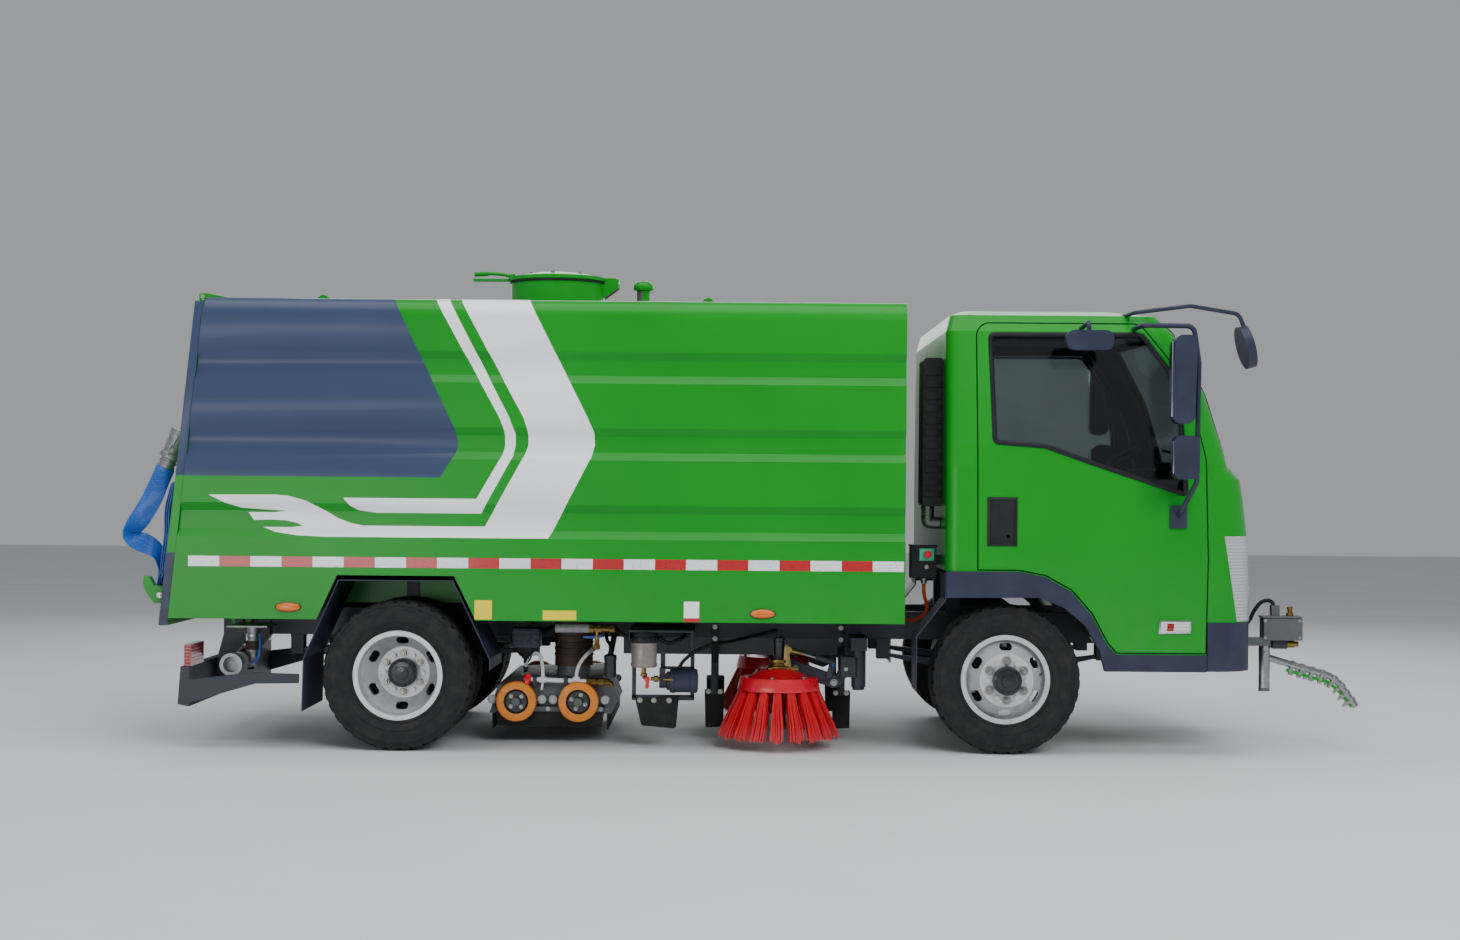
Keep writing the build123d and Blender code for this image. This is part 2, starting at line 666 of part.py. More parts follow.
def cab():
    outer = cab_volume(0)
    inner = cab_volume(CAB_WALL)
    low = CAB_SILL - 300
    tunnel = block(CAB_BACK - 50, CAB_FAR, -TUNNEL_HALF_WIDTH, TUNNEL_HALF_WIDTH, low, TUNNEL_TOP)
    inner_tunnel = block(
        CAB_BACK - 50,
        CAB_FAR,
        -TUNNEL_HALF_WIDTH - CAB_WALL,
        TUNNEL_HALF_WIDTH + CAB_WALL,
        low,
        TUNNEL_TOP + CAB_WALL,
    )
    outer -= tunnel
    outer -= side_prism(arch_profile(0), -1200, 1200)
    outer -= bumper_ring(low, BUMPER_TOP, 60, BUMPER_WALL, BUMPER_BACK - DOOR_GAP / 2)
    inner -= inner_tunnel
    inner -= side_prism(arch_profile(CAB_WALL), -1200, 1200)
    inner -= bumper_ring(low, BUMPER_TOP + CAB_WALL, 60, BUMPER_WALL + CAB_WALL, BUMPER_BACK - CAB_WALL)
    shell = outer - inner
    doors = side_prism(door_face(0), -1200, -DOOR_REACH) + side_prism(door_face(0), DOOR_REACH, 1200)
    # the floor's edge stays on the shell: down there the door is only its skin
    sill_edge = CAB_HALF_WIDTH - DOOR_THICK - DOOR_GAP
    sill_top = CAB_SILL + DOOR_THICK + DOOR_GAP
    doors -= block(CAB_BACK, DOOR_HINGE_X - 70, -sill_edge, sill_edge, CAB_SILL, sill_top)
    # by the hinge the edge steps in, clear of the door's swinging front corner
    doors -= block(CAB_BACK, CAB_FAR, -sill_edge + 24, sill_edge - 24, CAB_SILL, sill_top)
    shell -= doors
    screen = fillet(outline(WINDSCREEN).vertices(), 60)
    shell -= front_prism(screen, SCREEN_BEHIND, CAB_FAR)
    rear = fillet(outline(REAR_WINDOW).vertices(), 50)
    shell -= front_prism(rear, CAB_BACK - 50, CAB_BACK + 100)
    shell -= lamp_region(0) + left_of(lamp_region(0))
    shell -= front_prism(outline(GRILLE), NOSE_BEHIND, CAB_FAR)
    lugs = door_hinge_lugs()
    shell += lugs
    shell += left_of(lugs)
    keep("cab_shell", shell)

    layer = cab_volume(12) - cab_volume(12 + GLASS_THICK)
    front_glass = layer & front_prism(offset(screen, -FIT), SCREEN_BEHIND, CAB_FAR)
    rear_glass = layer & front_prism(offset(rear, -FIT), CAB_BACK - 50, CAB_BACK + 100)
    keep("cab_glass", Compound(children=[*front_glass.solids(), *rear_glass.solids()]))

    lamp_skin = cab_volume(0) - cab_volume(CAB_WALL)
    lamp = lamp_skin & lamp_region(FIT)
    keep("headlamps", both_sides(lamp))

    skin = cab_volume(0) - cab_volume(DOOR_THICK)
    panel = skin & side_prism(door_face(DOOR_GAP), -1200, -DOOR_REACH - 2)
    panel -= side_prism(window_face(0), -1200, -500)
    panel -= block(CAB_BACK, CAB_FAR, -CAB_HALF_WIDTH + DOOR_THICK, -DOOR_REACH + 10, CAB_SILL, sill_top)
    pocket_back = -CAB_HALF_WIDTH + 25
    pocket = side_prism(rounded(box_corners(HANDLE_X - 66, HANDLE_X + 66, 1022, 1246), 22), -CAB_HALF_WIDTH - 10, pocket_back)
    panel -= pocket
    handle = side_prism(rounded(box_corners(HANDLE_X - 48, HANDLE_X - 10, 1060, 1214), 12), pocket_back - 17, pocket_back)
    panel += handle
    panel -= door_hinge_pocket()
    panel += door_hinge_eyes()
    keep("door_right", panel)
    keep("door_left", left_of(panel))
    pane = (cab_volume(24) - cab_volume(24 + GLASS_THICK)) & side_prism(window_face(FIT), -1200, -DOOR_REACH - 2)
    keep("door_glass_right", pane)
    keep("door_glass_left", left_of(pane))

    keep("front_bumper", bumper())
    keep("front_grille", grille())
    keep("arch_flares", both_sides(arch_flare()))
    room = cab_volume(CAB_WALL + FIT)
    dash_face = outline(ahead_of_axle([(802, 1180), (1102, 1180), (1102, 1330), (1012, 1385), (852, 1330)]))
    dash_half = CAB_HALF_WIDTH - 130
    dash = side_prism(dash_face, -dash_half, dash_half) & room
    column_hole = STEERING_PLACE * (Pos(0, 0, -200) * Cylinder(22 + FIT, 400))
    dash -= column_hole
    keep("dashboard", dash)
    keep("steering_wheel", steering_wheel())
    keep("seats", both_sides(seat()))


def door_hinge_lugs():
    """Goose-neck lugs on the cab's front post with the pins of the right door."""
    x, y = DOOR_HINGE_X, -DOOR_HINGE_Y
    lugs = None
    for z in DOOR_HINGE_HEIGHTS:
        lug = rod((x, y, z - 10), (x, y, z + 10), 8)
        lug += block(x - 8, x + 4, y, y + 68, z - 10, z + 10)
        lug += block(x - 8, x + 78, y + 50, y + 68, z - 10, z + 10)
        lug += block(x + 58, x + 78, y + 24, y + 68, z - 10, z + 10)
        lug += rod((x, y, z - 33), (x, y, z + 33), DOOR_PIN_RADIUS)
        lugs = lug if lugs is None else lugs + lug
    return lugs


def door_hinge_pocket():
    """Room in the right door's front edge for the lugs."""
    x = DOOR_HINGE_X
    room = None
    for z in DOOR_HINGE_HEIGHTS:
        pocket = block(x - 24, x + 90, -CAB_HALF_WIDTH + 2.5, -DOOR_REACH - 18, z - 40, z + 40)
        room = pocket if room is None else room + pocket
    return room


def door_hinge_eyes():
    """The door's eyes above and below each lug."""
    x, y = DOOR_HINGE_X, -DOOR_HINGE_Y
    eyes = None
    for z in DOOR_HINGE_HEIGHTS:
        for low, high in ((z - 32, z - 10 - FIT), (z + 10 + FIT, z + 32)):
            eye = rod((x, y, low), (x, y, high), 9) + block(x - 34, x, y - 9, y + 9, low, high)
            eye -= rod((x, y, low - 1), (x, y, high + 1), DOOR_PIN_RADIUS + PIN_CLEARANCE)
            eyes = eye if eyes is None else eyes + eye
    return eyes


LAMP_WIDTH = 310


def lamp_region(shrink):
    face = outline(
        [
            (FRONT_AXLE_X + 1044 + shrink, 1072 - shrink),
            (CAB_FAR, 1072 - shrink),
            (CAB_FAR, BUMPER_TOP + 4 + shrink),
            (FRONT_AXLE_X + 1112 + shrink, BUMPER_TOP + 4 + shrink),
        ]
    )
    return side_prism(face, -CAB_HALF_WIDTH - 50, -CAB_HALF_WIDTH + LAMP_WIDTH - shrink)


GRILLE = ((-430, 760), (430, 760), (470, 960), (-470, 960))


def grille():
    """Dark intake panel in the nose, with level bars."""
    zone = front_prism(offset(outline(GRILLE), -FIT), NOSE_BEHIND, CAB_FAR)
    panel = (cab_volume(18) - cab_volume(34)) & zone
    bars = cab_volume(4) - cab_volume(20)
    for z in (790, 830, 870, 910):
        panel += bars & zone & block(NOSE_BEHIND, CAB_FAR, -600, 600, z, z + 14)
    return panel


def bumper():
    ring = bumper_ring(BUMPER_BOTTOM, BUMPER_TOP - FIT, 0, BUMPER_WALL - FIT, BUMPER_BACK)
    face = rounded([(-560, 470), (560, 470), (520, 600), (-520, 600)], 30)
    intake = front_prism(face, BUMPER_FRONT - 40, BUMPER_FRONT + 60)
    ring -= intake
    # two brackets back to the rails' front ends
    for side in (-1, 1):
        y = side * SPRING_Y
        ring += block(RAIL_FRONT, BUMPER_FRONT - BUMPER_WALL + 10, y - 28, y + 28, 530, 620)
    return ring


def arch_flare():
    """Wheel arch band under the door, run on into the sill."""
    x = FRONT_AXLE_X
    # the outer edge follows the door's lower edge, the inner edge the opening
    face = outline(
        [
            (CAB_BACK, CAB_FLOOR_OVER_WHEEL - FIT),
            (x + 48, CAB_FLOOR_OVER_WHEEL - FIT),
            (x + 177 - FIT, 869 - FIT),
            (x + 304 - FIT, 799 - FIT),
            (x + 402 - FIT, 688 - FIT),
            (x + 476 - FIT, 547 - FIT),
            (x + 524 - FIT, CAB_SILL - FIT),
            (BUMPER_BACK - 4, CAB_SILL - FIT),
            (BUMPER_BACK - 4, 415),
            (x + 470, 415),
            (x + 442, 520),
            (x + 368, 640),
            (x + 270, 720),
            (x + 150, 768),
            (CAB_BACK, 764),
        ]
    )
    skin = side_prism(face, -CAB_HALF_WIDTH - 8, -CAB_HALF_WIDTH + 40)
    return skin


STEERING_PLACE = Location((FRONT_AXLE_X + 712, 430, 1400), (0, -35, 0))


def steering_wheel():
    rim_ring = Torus(200, 15)
    hub_disc = Cylinder(45, 40)
    wheel = rim_ring + hub_disc
    for angle in (90, 210, 330):
        wheel += Rot(0, 0, angle) * (Pos(105, 0, 0) * Box(200, 30, 14))
    column = Pos(0, 0, -150) * Cylinder(22, 280)
    return STEERING_PLACE * (wheel + column)


SEAT_BACK = 700


def seat():
    x, y, z = FRONT_AXLE_X - 8, -430, CAB_FLOOR_OVER_WHEEL + CAB_WALL
    base = block(x + 60, x + 420, y - 180, y + 180, z, z + 90)
    cushion_face = rounded([(x, z + 90), (x + 500, z + 90), (x + 500, z + 200), (x, z + 190)], 40)
    cushion = side_prism(cushion_face, y - 240, y + 240)
    top = z + SEAT_BACK
    back_face = rounded([(x - 150, top), (x, z + 120), (x + 110, z + 160), (x - 50, top)], 35)
    back = side_prism(back_face, y - 230, y + 230)
    head_face = rounded([(x - 160, top + 160), (x - 125, top - 10), (x - 55, top - 10), (x - 85, top + 170)], 25)
    head = side_prism(head_face, y - 130, y + 130)
    return base + cushion + back + head


def mirrors():
    """Main, wide-angle and kerb glasses on the door, and the round one on its arm from the roof's corner."""
    x, y = FRONT_AXLE_X, -CAB_HALF_WIDTH
    roof = CAB_ROOF
    skin = cab_volume(-FIT)
    arm = bent_tube(
        [
            (x + 612, y + 85, 2075),
            (x + 612, y - 130, 2078),
            (x + 852, y - 150, 2075),
            (x + 878, y - 150, 1900),
            (x + 872, y - 150, 1330),
            (x + 817, y - 60, 1190),
            (x + 817, y + 10, 1165),
        ],
        40,
        12,
    )
    foot = block(x + 777, x + 857, y - 14, y + 10, 1110, 1220)
    main_face = rounded(ahead_of_axle([(737, 1608), (842, 1608), (856, 2028), (747, 2028)]), 40)
    wide_face = rounded(ahead_of_axle([(747, 1345), (868, 1345), (870, 1552), (750, 1552)]), 35)
    heads = side_prism(main_face, y - 235, y - 150) + side_prism(wide_face, y - 230, y - 145)
    main = (arm + foot + heads) - skin
    kerb_face = rounded(ahead_of_axle([(242, 1955), (467, 1955), (467, 2050), (242, 2050)]), 40)
    kerb = side_prism(kerb_face, y - 190, y - 130)
    kerb += bent_tube([(x + 352, y + 88, 2072), (x + 352, y - 160, 2092), (x + 352, y - 160, 2045)], 30, 11)
    ahead = bent_tube(
        [
            (x + 542, y + 260, roof - 31),
            (x + 602, y + 10, roof - 19),
            (x + 862, y - 20, roof + 13),
            (x + 1112, y + 40, roof - 19),
            (x + 1147, y + 40, roof - 109),
        ],
        45,
        10,
    )
    ahead += Pos(x + 1147, y + 40, roof - 179) * Rot(0, 75, 0) * Cylinder(105, 42)
    return main, kerb - skin, ahead - skin


GROOVES = ((1032, 1196), (1413, 1568), (1784, 1936))


def hopper_section(inset):
    """Half outline of the body seen from the back, right side, its grooves pressed in."""
    edge = -HOPPER_HALF_WIDTH + inset
    points = [(0, HOPPER_BOTTOM + inset), (edge, HOPPER_BOTTOM + inset)]
    for low, high in GROOVES:
        points.append((edge, low))
        points.append((edge + GROOVE_DEPTH, low + GROOVE_SLOPE))
        points.append((edge + GROOVE_DEPTH, high - GROOVE_SLOPE))
        points.append((edge, high))
    points.append((edge, HOPPER_TOP - inset))
    points.append((0, HOPPER_TOP - inset))
    face = outline(points)
    corner = [v for v in face.vertices() if abs(v.X - edge) < 1 and v.Y > HOPPER_TOP - inset - 1]
    return fillet(corner, HOPPER_CORNER - inset)


def rear_arch_face(grow):
    """The notch over the rear wheels, seen from the side."""
    x = REAR_AXLE_X
    return outline(
        [
            (x - 470 - grow, HOPPER_BOTTOM - 300),
            (x - 470 - grow, 455),
            (x - 290 - grow * 0.7, 850 + grow),
            (x + 275 + grow * 0.7, 850 + grow),
            (x + 470 + grow, 455),
            (x + 470 + grow, HOPPER_BOTTOM - 300),
        ]
    )


REAR_ARCH_INNER_Y = 430


def hopper_solid(inset, back_inset):
    half = front_prism(hopper_section(inset), HOPPER_REAR_BOTTOM - 200, HOPPER_FRONT - inset)
    body = half + left_of(half)
    slant = outline(
        [
            (rear_edge_x(HOPPER_TOP + 40) - back_inset, HOPPER_TOP + 40),
            (rear_edge_x(HOPPER_BOTTOM - 136) - back_inset, HOPPER_BOTTOM - 136),
            (HOPPER_REAR_BOTTOM - 900, HOPPER_BOTTOM - 136),
            (HOPPER_REAR_BOTTOM - 900, HOPPER_TOP + 40),
        ]
    )
    return body - side_prism(slant, -1200, 1200)


HATCH_X = REAR_AXLE_X + 687
HATCH_RADIUS = 246
HATCH_RISE = 172
HATCH_TOP = HOPPER_TOP + HATCH_RISE
VENT_X = REAR_AXLE_X + 1136


def hopper():
    outer = hopper_solid(0, 0)
    under = block(HOPPER_REAR_BOTTOM - 300, HOPPER_FRONT + 10, -905, 905, HOPPER_BOTTOM - 50, HOPPER_FLOOR)
    outer -= under
    arch = rear_arch_face(0)
    outer -= side_prism(arch, -1000, -REAR_ARCH_INNER_Y) + side_prism(arch, REAR_ARCH_INNER_Y, 1000)
    inner = hopper_solid(HOPPER_WALL, 60)
    inner -= block(
        HOPPER_REAR_BOTTOM - 300, HOPPER_FRONT, -1000, 1000, HOPPER_BOTTOM - 50, HOPPER_FLOOR + HOPPER_WALL
    )
    grown = rear_arch_face(HOPPER_WALL)
    inner -= side_prism(grown, -1000, -REAR_ARCH_INNER_Y + HOPPER_WALL)
    inner -= side_prism(grown, REAR_ARCH_INNER_Y - HOPPER_WALL, 1000)
    shell = outer - inner
    collar = rod((HATCH_X, 0, HOPPER_TOP - HOPPER_WALL), (HATCH_X, 0, HATCH_TOP), HATCH_RADIUS)
    shell += collar
    shell -= rod((HATCH_X, 0, HOPPER_TOP - 100), (HATCH_X, 0, HATCH_TOP + 10), HATCH_RADIUS - 8)
    shell += rod((VENT_X, 0, HOPPER_TOP - HOPPER_WALL), (VENT_X, 0, 2340), 35)
    shell += hopper_hinge()
    shell += hoist_head()
    shell += hatch_hinge()
    shell += tail_hinge()
    # suction inlet in the floor
    shell -= rod((DUCT_X, DUCT_Y, HOPPER_FLOOR - 10), (DUCT_X, DUCT_Y, HOPPER_FLOOR + HOPPER_WALL + 10), DUCT_RADIUS)
    keep("hopper_shell", shell)


def hopper_hinge():
    """Eyes under the floor round the frame's hinge pin."""
    eyes = None
    for side in (-1, 1):
        y = side * (FRAME_HALF_WIDTH + 55)
        plate = outline(
            [
                (TIP_PIVOT_X - 40, TIP_PIVOT_Z - 20),
                (TIP_PIVOT_X + 40, TIP_PIVOT_Z - 20),
                (TIP_PIVOT_X + 120, HOPPER_FLOOR),
                (TIP_PIVOT_X - 60, HOPPER_FLOOR),
            ]
        )
        eye = side_prism(plate, y - 12, y + 12)
        eye += cross_disc(TIP_PIVOT_X, TIP_PIVOT_Z, y - 12, y + 12, 42)
        eye -= cross_disc(TIP_PIVOT_X, TIP_PIVOT_Z, y - 20, y + 20, 20.5)
        eyes = eye if eyes is None else eyes + eye
    return eyes


DUCT_X = REAR_AXLE_X + 820
DUCT_Y = -FRAME_HALF_WIDTH - 100
DUCT_RADIUS = 90
THROAT_RADIUS = 84


def hatch_lid():
    """Domed lid with its locking lever behind and hinge strap ahead."""
    lid = rod((HATCH_X, 0, HATCH_TOP + 1), (HATCH_X, 0, HATCH_TOP + 20), HATCH_RADIUS + 8)
    dome_radius = 900
    dome = Pos(HATCH_X, 0, HATCH_TOP + 52 - dome_radius) * Sphere(dome_radius)
    lid += dome & rod((HATCH_X, 0, HATCH_TOP + 15), (HATCH_X, 0, HATCH_TOP + 60), HATCH_RADIUS)
    lid += block(HATCH_X - HATCH_RADIUS - 200, HATCH_X - HATCH_RADIUS + 10, -20, 20, HATCH_TOP + 1, HATCH_TOP + 14)
    lid += block(HATCH_X + HATCH_RADIUS - 20, HATCH_HINGE_X, -38, 38, HATCH_TOP + 1, HATCH_TOP + 20)
    lid += cross_disc(HATCH_HINGE_X, HATCH_TOP, -40, 40, 16)
    lid -= cross_disc(HATCH_HINGE_X, HATCH_TOP, -70, 70, 8.5)
    return lid


HATCH_HINGE_X = HATCH_X + HATCH_RADIUS + 60


def hatch_hinge():
    """Ears on the collar with the lid's pin."""
    ears = None
    for y in (-54, 42):
        ear = outline(
            [
                (HATCH_X + HATCH_RADIUS - 6, HATCH_TOP - 90),
                (HATCH_HINGE_X + 16, HATCH_TOP - 30),
                (HATCH_HINGE_X + 16, HATCH_TOP + 12),
                (HATCH_HINGE_X - 16, HATCH_TOP + 12),
                (HATCH_X + HATCH_RADIUS - 6, HATCH_TOP - 4),
            ]
        )
        part = side_prism(ear, y, y + 12)
        ears = part if ears is None else ears + part
    return ears + cross_disc(HATCH_HINGE_X, HATCH_TOP, -54, 54, 8)


def rear_edge_x(z):
    """The body's slanting rear edge at a height."""
    share = (z - HOPPER_BOTTOM) / (HOPPER_TOP - HOPPER_BOTTOM)
    return HOPPER_REAR_BOTTOM + share * (HOPPER_REAR_TOP - HOPPER_REAR_BOTTOM)


TAILGATE_BOTTOM = 600
TAILGATE_GAP = 2


def tailgate():
    top, bottom = HOPPER_TOP - 22, TAILGATE_BOTTOM
    gap = TAILGATE_GAP
    face = outline(
        [
            (rear_edge_x(top) - gap, top),
            (rear_edge_x(bottom) - gap, bottom),
            (rear_edge_x(bottom) - gap - TAILGATE_THICK, bottom),
            (rear_edge_x(top) - gap - TAILGATE_THICK, top),
        ]
    )
    panel = side_prism(face, -HOPPER_HALF_WIDTH + 6, HOPPER_HALF_WIDTH - 6)
    # raised stiffening ribs on the outer face
    for y in (-620, -310, 0, 310, 620):
        rib = outline(
            [
                (rear_edge_x(2050) - gap - TAILGATE_THICK, 2050),
                (rear_edge_x(760) - gap - TAILGATE_THICK, 760),
                (rear_edge_x(790) - gap - TAILGATE_THICK - 22, 790),
                (rear_edge_x(2020) - gap - TAILGATE_THICK - 22, 2020),
            ]
        )
        panel += side_prism(rib, y - 30, y + 30)
    for side in (-1, 1):
        y = side * 760
        panel += cross_disc(TAIL_HINGE_X, TAIL_HINGE_Z, y - 40, y + 40, 18)
        panel += block(TAIL_HINGE_X - 18, rear_edge_x(2150) - gap - 1, y - 40, y + 40, 2120, TAIL_HINGE_Z)
    panel -= cross_disc(TAIL_HINGE_X, TAIL_HINGE_Z, -1000, 1000, 8.5)
    for side in (-1, 1):
        panel += side_prism(outline(tail_latch()), *sorted((side * 825, side * 875)))
    return panel + hose_hanger()


def tailgate_face_x(z):
    """The tailgate's outer face at a height."""
    return rear_edge_x(z) - TAILGATE_GAP - TAILGATE_THICK


LATCH_Z = HOPPER_FLOOR + 10


def tail_latch():
    """Side outline of the locking claw at the tailgate's foot."""
    foot = tailgate_face_x(LATCH_Z) + 5
    return [
        (foot, LATCH_Z),
        (foot - 58, LATCH_Z + 4),
        (foot - 100, LATCH_Z + 60),
        (foot - 112, LATCH_Z + 100),
        (foot - 108, LATCH_Z + 135),
        (foot - 82, LATCH_Z + 132),
        (foot - 58, LATCH_Z + 90),
        (foot + 4, LATCH_Z + 80),
    ]


HOSE_Y = -720
HOSE_HALF_WIDTH = 50
HANGER_X = REAR_AXLE_X - 1112
HANGER_Z = 1262
HANGER_RADIUS = 9
# columns: distance behind the rear axle, height
COUPLING_TOP = (1106, 1545)
COUPLING_LOW = (1189, 1346)


def hose_point(behind, height):
    return (REAR_AXLE_X - behind, HOSE_Y, height)


def hose_hanger():
    """Bar on two arms that the fill hose hangs over, and the cradle under its coupling."""
    reach = HOSE_HALF_WIDTH + 8
    bar = cross_disc(HANGER_X, HANGER_Z, HOSE_Y - reach, HOSE_Y + reach, HANGER_RADIUS)
    for side in (-1, 1):
        y = HOSE_Y + side * reach
        bar += block(HANGER_X - 12, tailgate_face_x(HANGER_Z) + 6, y - 4, y + 4, HANGER_Z - 12, HANGER_Z + 12)
    top, low = Vector(*hose_point(*COUPLING_TOP)), Vector(*hose_point(*COUPLING_LOW))
    middle = top + (low - top) * 0.35
    cradle = block(middle.X - 36, tailgate_face_x(middle.Z) + 6, HOSE_Y - 22, HOSE_Y + 22, middle.Z - 22, middle.Z + 4)
    return bar + (cradle - rod(top, low, COUPLING_RADIUS + FIT))


COUPLING_RADIUS = 44


def hose_coupling():
    """Fill coupling on the hose's end, with its cap rings and two cam levers."""
    top, low = Vector(*hose_point(*COUPLING_TOP)), Vector(*hose_point(*COUPLING_LOW))
    length = (low - top).length
    # columns: radius, distance from the open end
    profile = [
        (0, 0),
        (50, 0),
        (50, 22),
        (COUPLING_RADIUS, 28),
        (COUPLING_RADIUS, 118),
        (52, 124),
        (52, 146),
        (38, 152),
        (38, length),
        (0, length),
    ]
    body = revolve(Plane.XZ * outline(profile), axis=Axis.Z)
    bore = [(-1, -1), (36, -1), (36, 60), (-1, 60)]
    body -= revolve(Plane.XZ * outline([(max(radius, 0), z) for radius, z in bore]), axis=Axis.Z)
    for side in (-1, 1):
        body += Pos(side * 53, 0, 60) * Box(8, 16, 76)
        body += Pos(side * 48, 0, 30) * Box(14, 22, 20)
    return Plane(origin=top, x_dir=(0, 1, 0), z_dir=low - top) * body


def hose_hank():
    """Outer form of the lay-flat fill hose: hanging folds over the bar and one loop standing out behind."""
    face_gap = 4
    runs = outline(
        [
            (tailgate_face_x(1296) - face_gap, 1296),
            (tailgate_face_x(1296) - 84, 1286),
            (tailgate_face_x(1080) - 92, 1080),
            (tailgate_face_x(822) - 96, 822),
            (tailgate_face_x(712) - 60, 712),
            (tailgate_face_x(700) - face_gap, 700),
        ]
    )
    low, high = HOSE_Y - HOSE_HALF_WIDTH, HOSE_Y + HOSE_HALF_WIDTH
    hank = side_prism(runs, low, high)
    hank -= cross_disc(HANGER_X, HANGER_Z, low - 5, high + 5, HANGER_RADIUS + FIT)
    start = REAR_AXLE_X - COUPLING_LOW[0]
    fold_x = REAR_AXLE_X - 1365
    loop = outline(
        [
            (start + 26, COUPLING_LOW[1] - 40),
            (start - 22, COUPLING_LOW[1] - 22),
            (fold_x - 22, 1080),
            (fold_x - 30, 1040),
            (fold_x - 18, 1005),
            (REAR_AXLE_X - 1212, 916),
            (REAR_AXLE_X - 1205, 950),
            (fold_x + 16, 1046),
            (fold_x + 22, 1064),
        ]
    )
    return hank + side_prism(loop, low, high)


TAIL_HINGE_X = REAR_AXLE_X - 983
TAIL_HINGE_Z = 2200


def tail_hinge():
    """Ears over the roof's rear edge with the tailgate's pins."""
    ears = None
    for side in (-1, 1):
        for shift in (-54, 42):
            y = side * 760 + shift
            ear = outline(
                [
                    (TAIL_HINGE_X - 16, TAIL_HINGE_Z - 16),
                    (TAIL_HINGE_X - 16, TAIL_HINGE_Z + 14),
                    (TAIL_HINGE_X + 16, TAIL_HINGE_Z + 16),
                    (TAIL_HINGE_X + 150, HOPPER_TOP + 1),
                    (TAIL_HINGE_X + 150, HOPPER_TOP - 10),
                    (rear_edge_x(HOPPER_TOP) + 2, HOPPER_TOP - 10),
                    (rear_edge_x(HOPPER_TOP) + 2, TAIL_HINGE_Z - 8),
                ]
            )
            part = side_prism(ear, y, y + 12)
            ears = part if ears is None else ears + part
        pin = cross_disc(TAIL_HINGE_X, TAIL_HINGE_Z, side * 760 - 54, side * 760 + 54, 8)
        ears += pin
    return ears


# Running gear and sweeping gear below


def mudguard():
    """Angled guard over the twin wheels, open to the side."""
    x = REAR_AXLE_X
    wall = 5

    def shape(shift):
        return [
            (x - 458 + shift, 191 if shift == 0 else 150),
            (x - 452 + shift, 448),
            (x - 285 + shift * 0.7, 828 - shift),
            (x + 270 - shift * 0.7, 828 - shift),
            (x + 452 - shift, 448),
            (x + 452 - shift, 395 if shift == 0 else 350),
        ]

    outer = side_prism(outline(shape(0)), -HOPPER_HALF_WIDTH + 8, -REAR_ARCH_INNER_Y - 10)
    inner = side_prism(outline(shape(wall)), -HOPPER_HALF_WIDTH, -REAR_ARCH_INNER_Y)
    guard = outer - inner
    hanger = block(x - 30, x + 30, -REAR_ARCH_INNER_Y - 16, -REAR_ARCH_INNER_Y - 8, 600, 825)
    hanger += block(x - 30, x + 30, -REAR_ARCH_INNER_Y - 10, -FRAME_HALF_WIDTH, 600, 650)
    return guard + hanger


def rear_bumper():
    """Underride beam with its hangers and the plates that run forward at both sides."""
    back, front = REAR_AXLE_X - 1066, REAR_AXLE_X - 1010
    under_rail = RAIL_TOP - RAIL_HEIGHT - FIT
    beam = side_prism(outline([(back, 216), (front, 205), (front, 399), (back + 13, 399)]), -900, 900)
    for side in (-1, 1):
        y = side * SPRING_Y
        beam += block(front, front + 42, y - 30, y + 30, 280, 399)
        hanger = [(front, 399), (front, 300), (TIP_PIVOT_X, 470), (TIP_PIVOT_X, under_rail), (RAIL_BACK, under_rail)]
        beam += side_prism(outline(hanger), y - 30, y + 30)
        plate = outline(
            [
                (back + 13, 212),
                (REAR_AXLE_X - 690, 318),
                (REAR_AXLE_X - 482, 322),
                (REAR_AXLE_X - 482, 366),
                (REAR_AXLE_X - 700, 372),
                (back + 13, 330),
            ]
        )
        beam += side_prism(plate, *sorted((side * 880, side * 900)))
    return beam


def tail_lamp():
    return block(REAR_AXLE_X - 1038, REAR_AXLE_X - 1006, -890, -640, 399 + FIT, 504)


INLET_X = REAR_AXLE_X - 819
INLET_Z = 406
INLET_RADIUS = 55
INLET_BORE = 38


def water_inlet():
    """Fill socket at the right tail with its pipe to the frame and the riser to the tank."""
    x, z = INLET_X, INLET_Z
    face = -FRAME_HALF_WIDTH - 24 - FIT
    pipe = cross_disc(x, z, -860, -790, INLET_RADIUS)
    pipe += cross_disc(x, z, -800, face, 32)
    pipe += cross_disc(x, z, -700, -672, 50)
    pipe -= cross_disc(x, z, -870, -800, INLET_BORE)
    pipe += block(x - 30, x + 30, face - 12, face, z - 40, 545)
    riser = rod((x + 60, -640, z - 20), (x + 60, -640, 584), 31)
    riser += rod((x + 60, -640, z + 52), (x + 60, -640, z + 100), 38)
    link = cross_disc(x, z, -668, -612, 44) + block(x, x + 60, -668, -612, z - 28, z + 28)
    plate = block(x - 60, x + 140, -700, -FRAME_HALF_WIDTH - 96, 576, 584)
    return pipe + riser + link + plate


def brush_bracket():
    """Swing bracket on its upright pivot beside the frame."""
    x, y = BRUSH_PIVOT_X, BRUSH_PIVOT_Y
    post = rod((x, y, 300), (x, y, 480), 36)
    post -= rod((x, y, 290), (x, y, 490), 16.5)
    post += block(x - 90, x - 18, y - 55, y - 30, 350, 450)
    post += block(x - 90, x - 18, y + 30, y + 55, 350, 450)
    post -= cross_disc(ARM_PIN_X, ARM_PIN_Z, y - 60, y + 60, 10.1)
    return post


BRUSH_PIVOT_X = FRONT_AXLE_X - 700
BRUSH_PIVOT_Y = -600
BRUSH_X = BRUSH_PIVOT_X - 398
BRUSH_Y = -640
BRUSH_TIP_RADIUS = 315
BRUSH_TIP_Z = 36
BRUSH_PLATE_Z = 287
BRUSH_TUFTS = 18


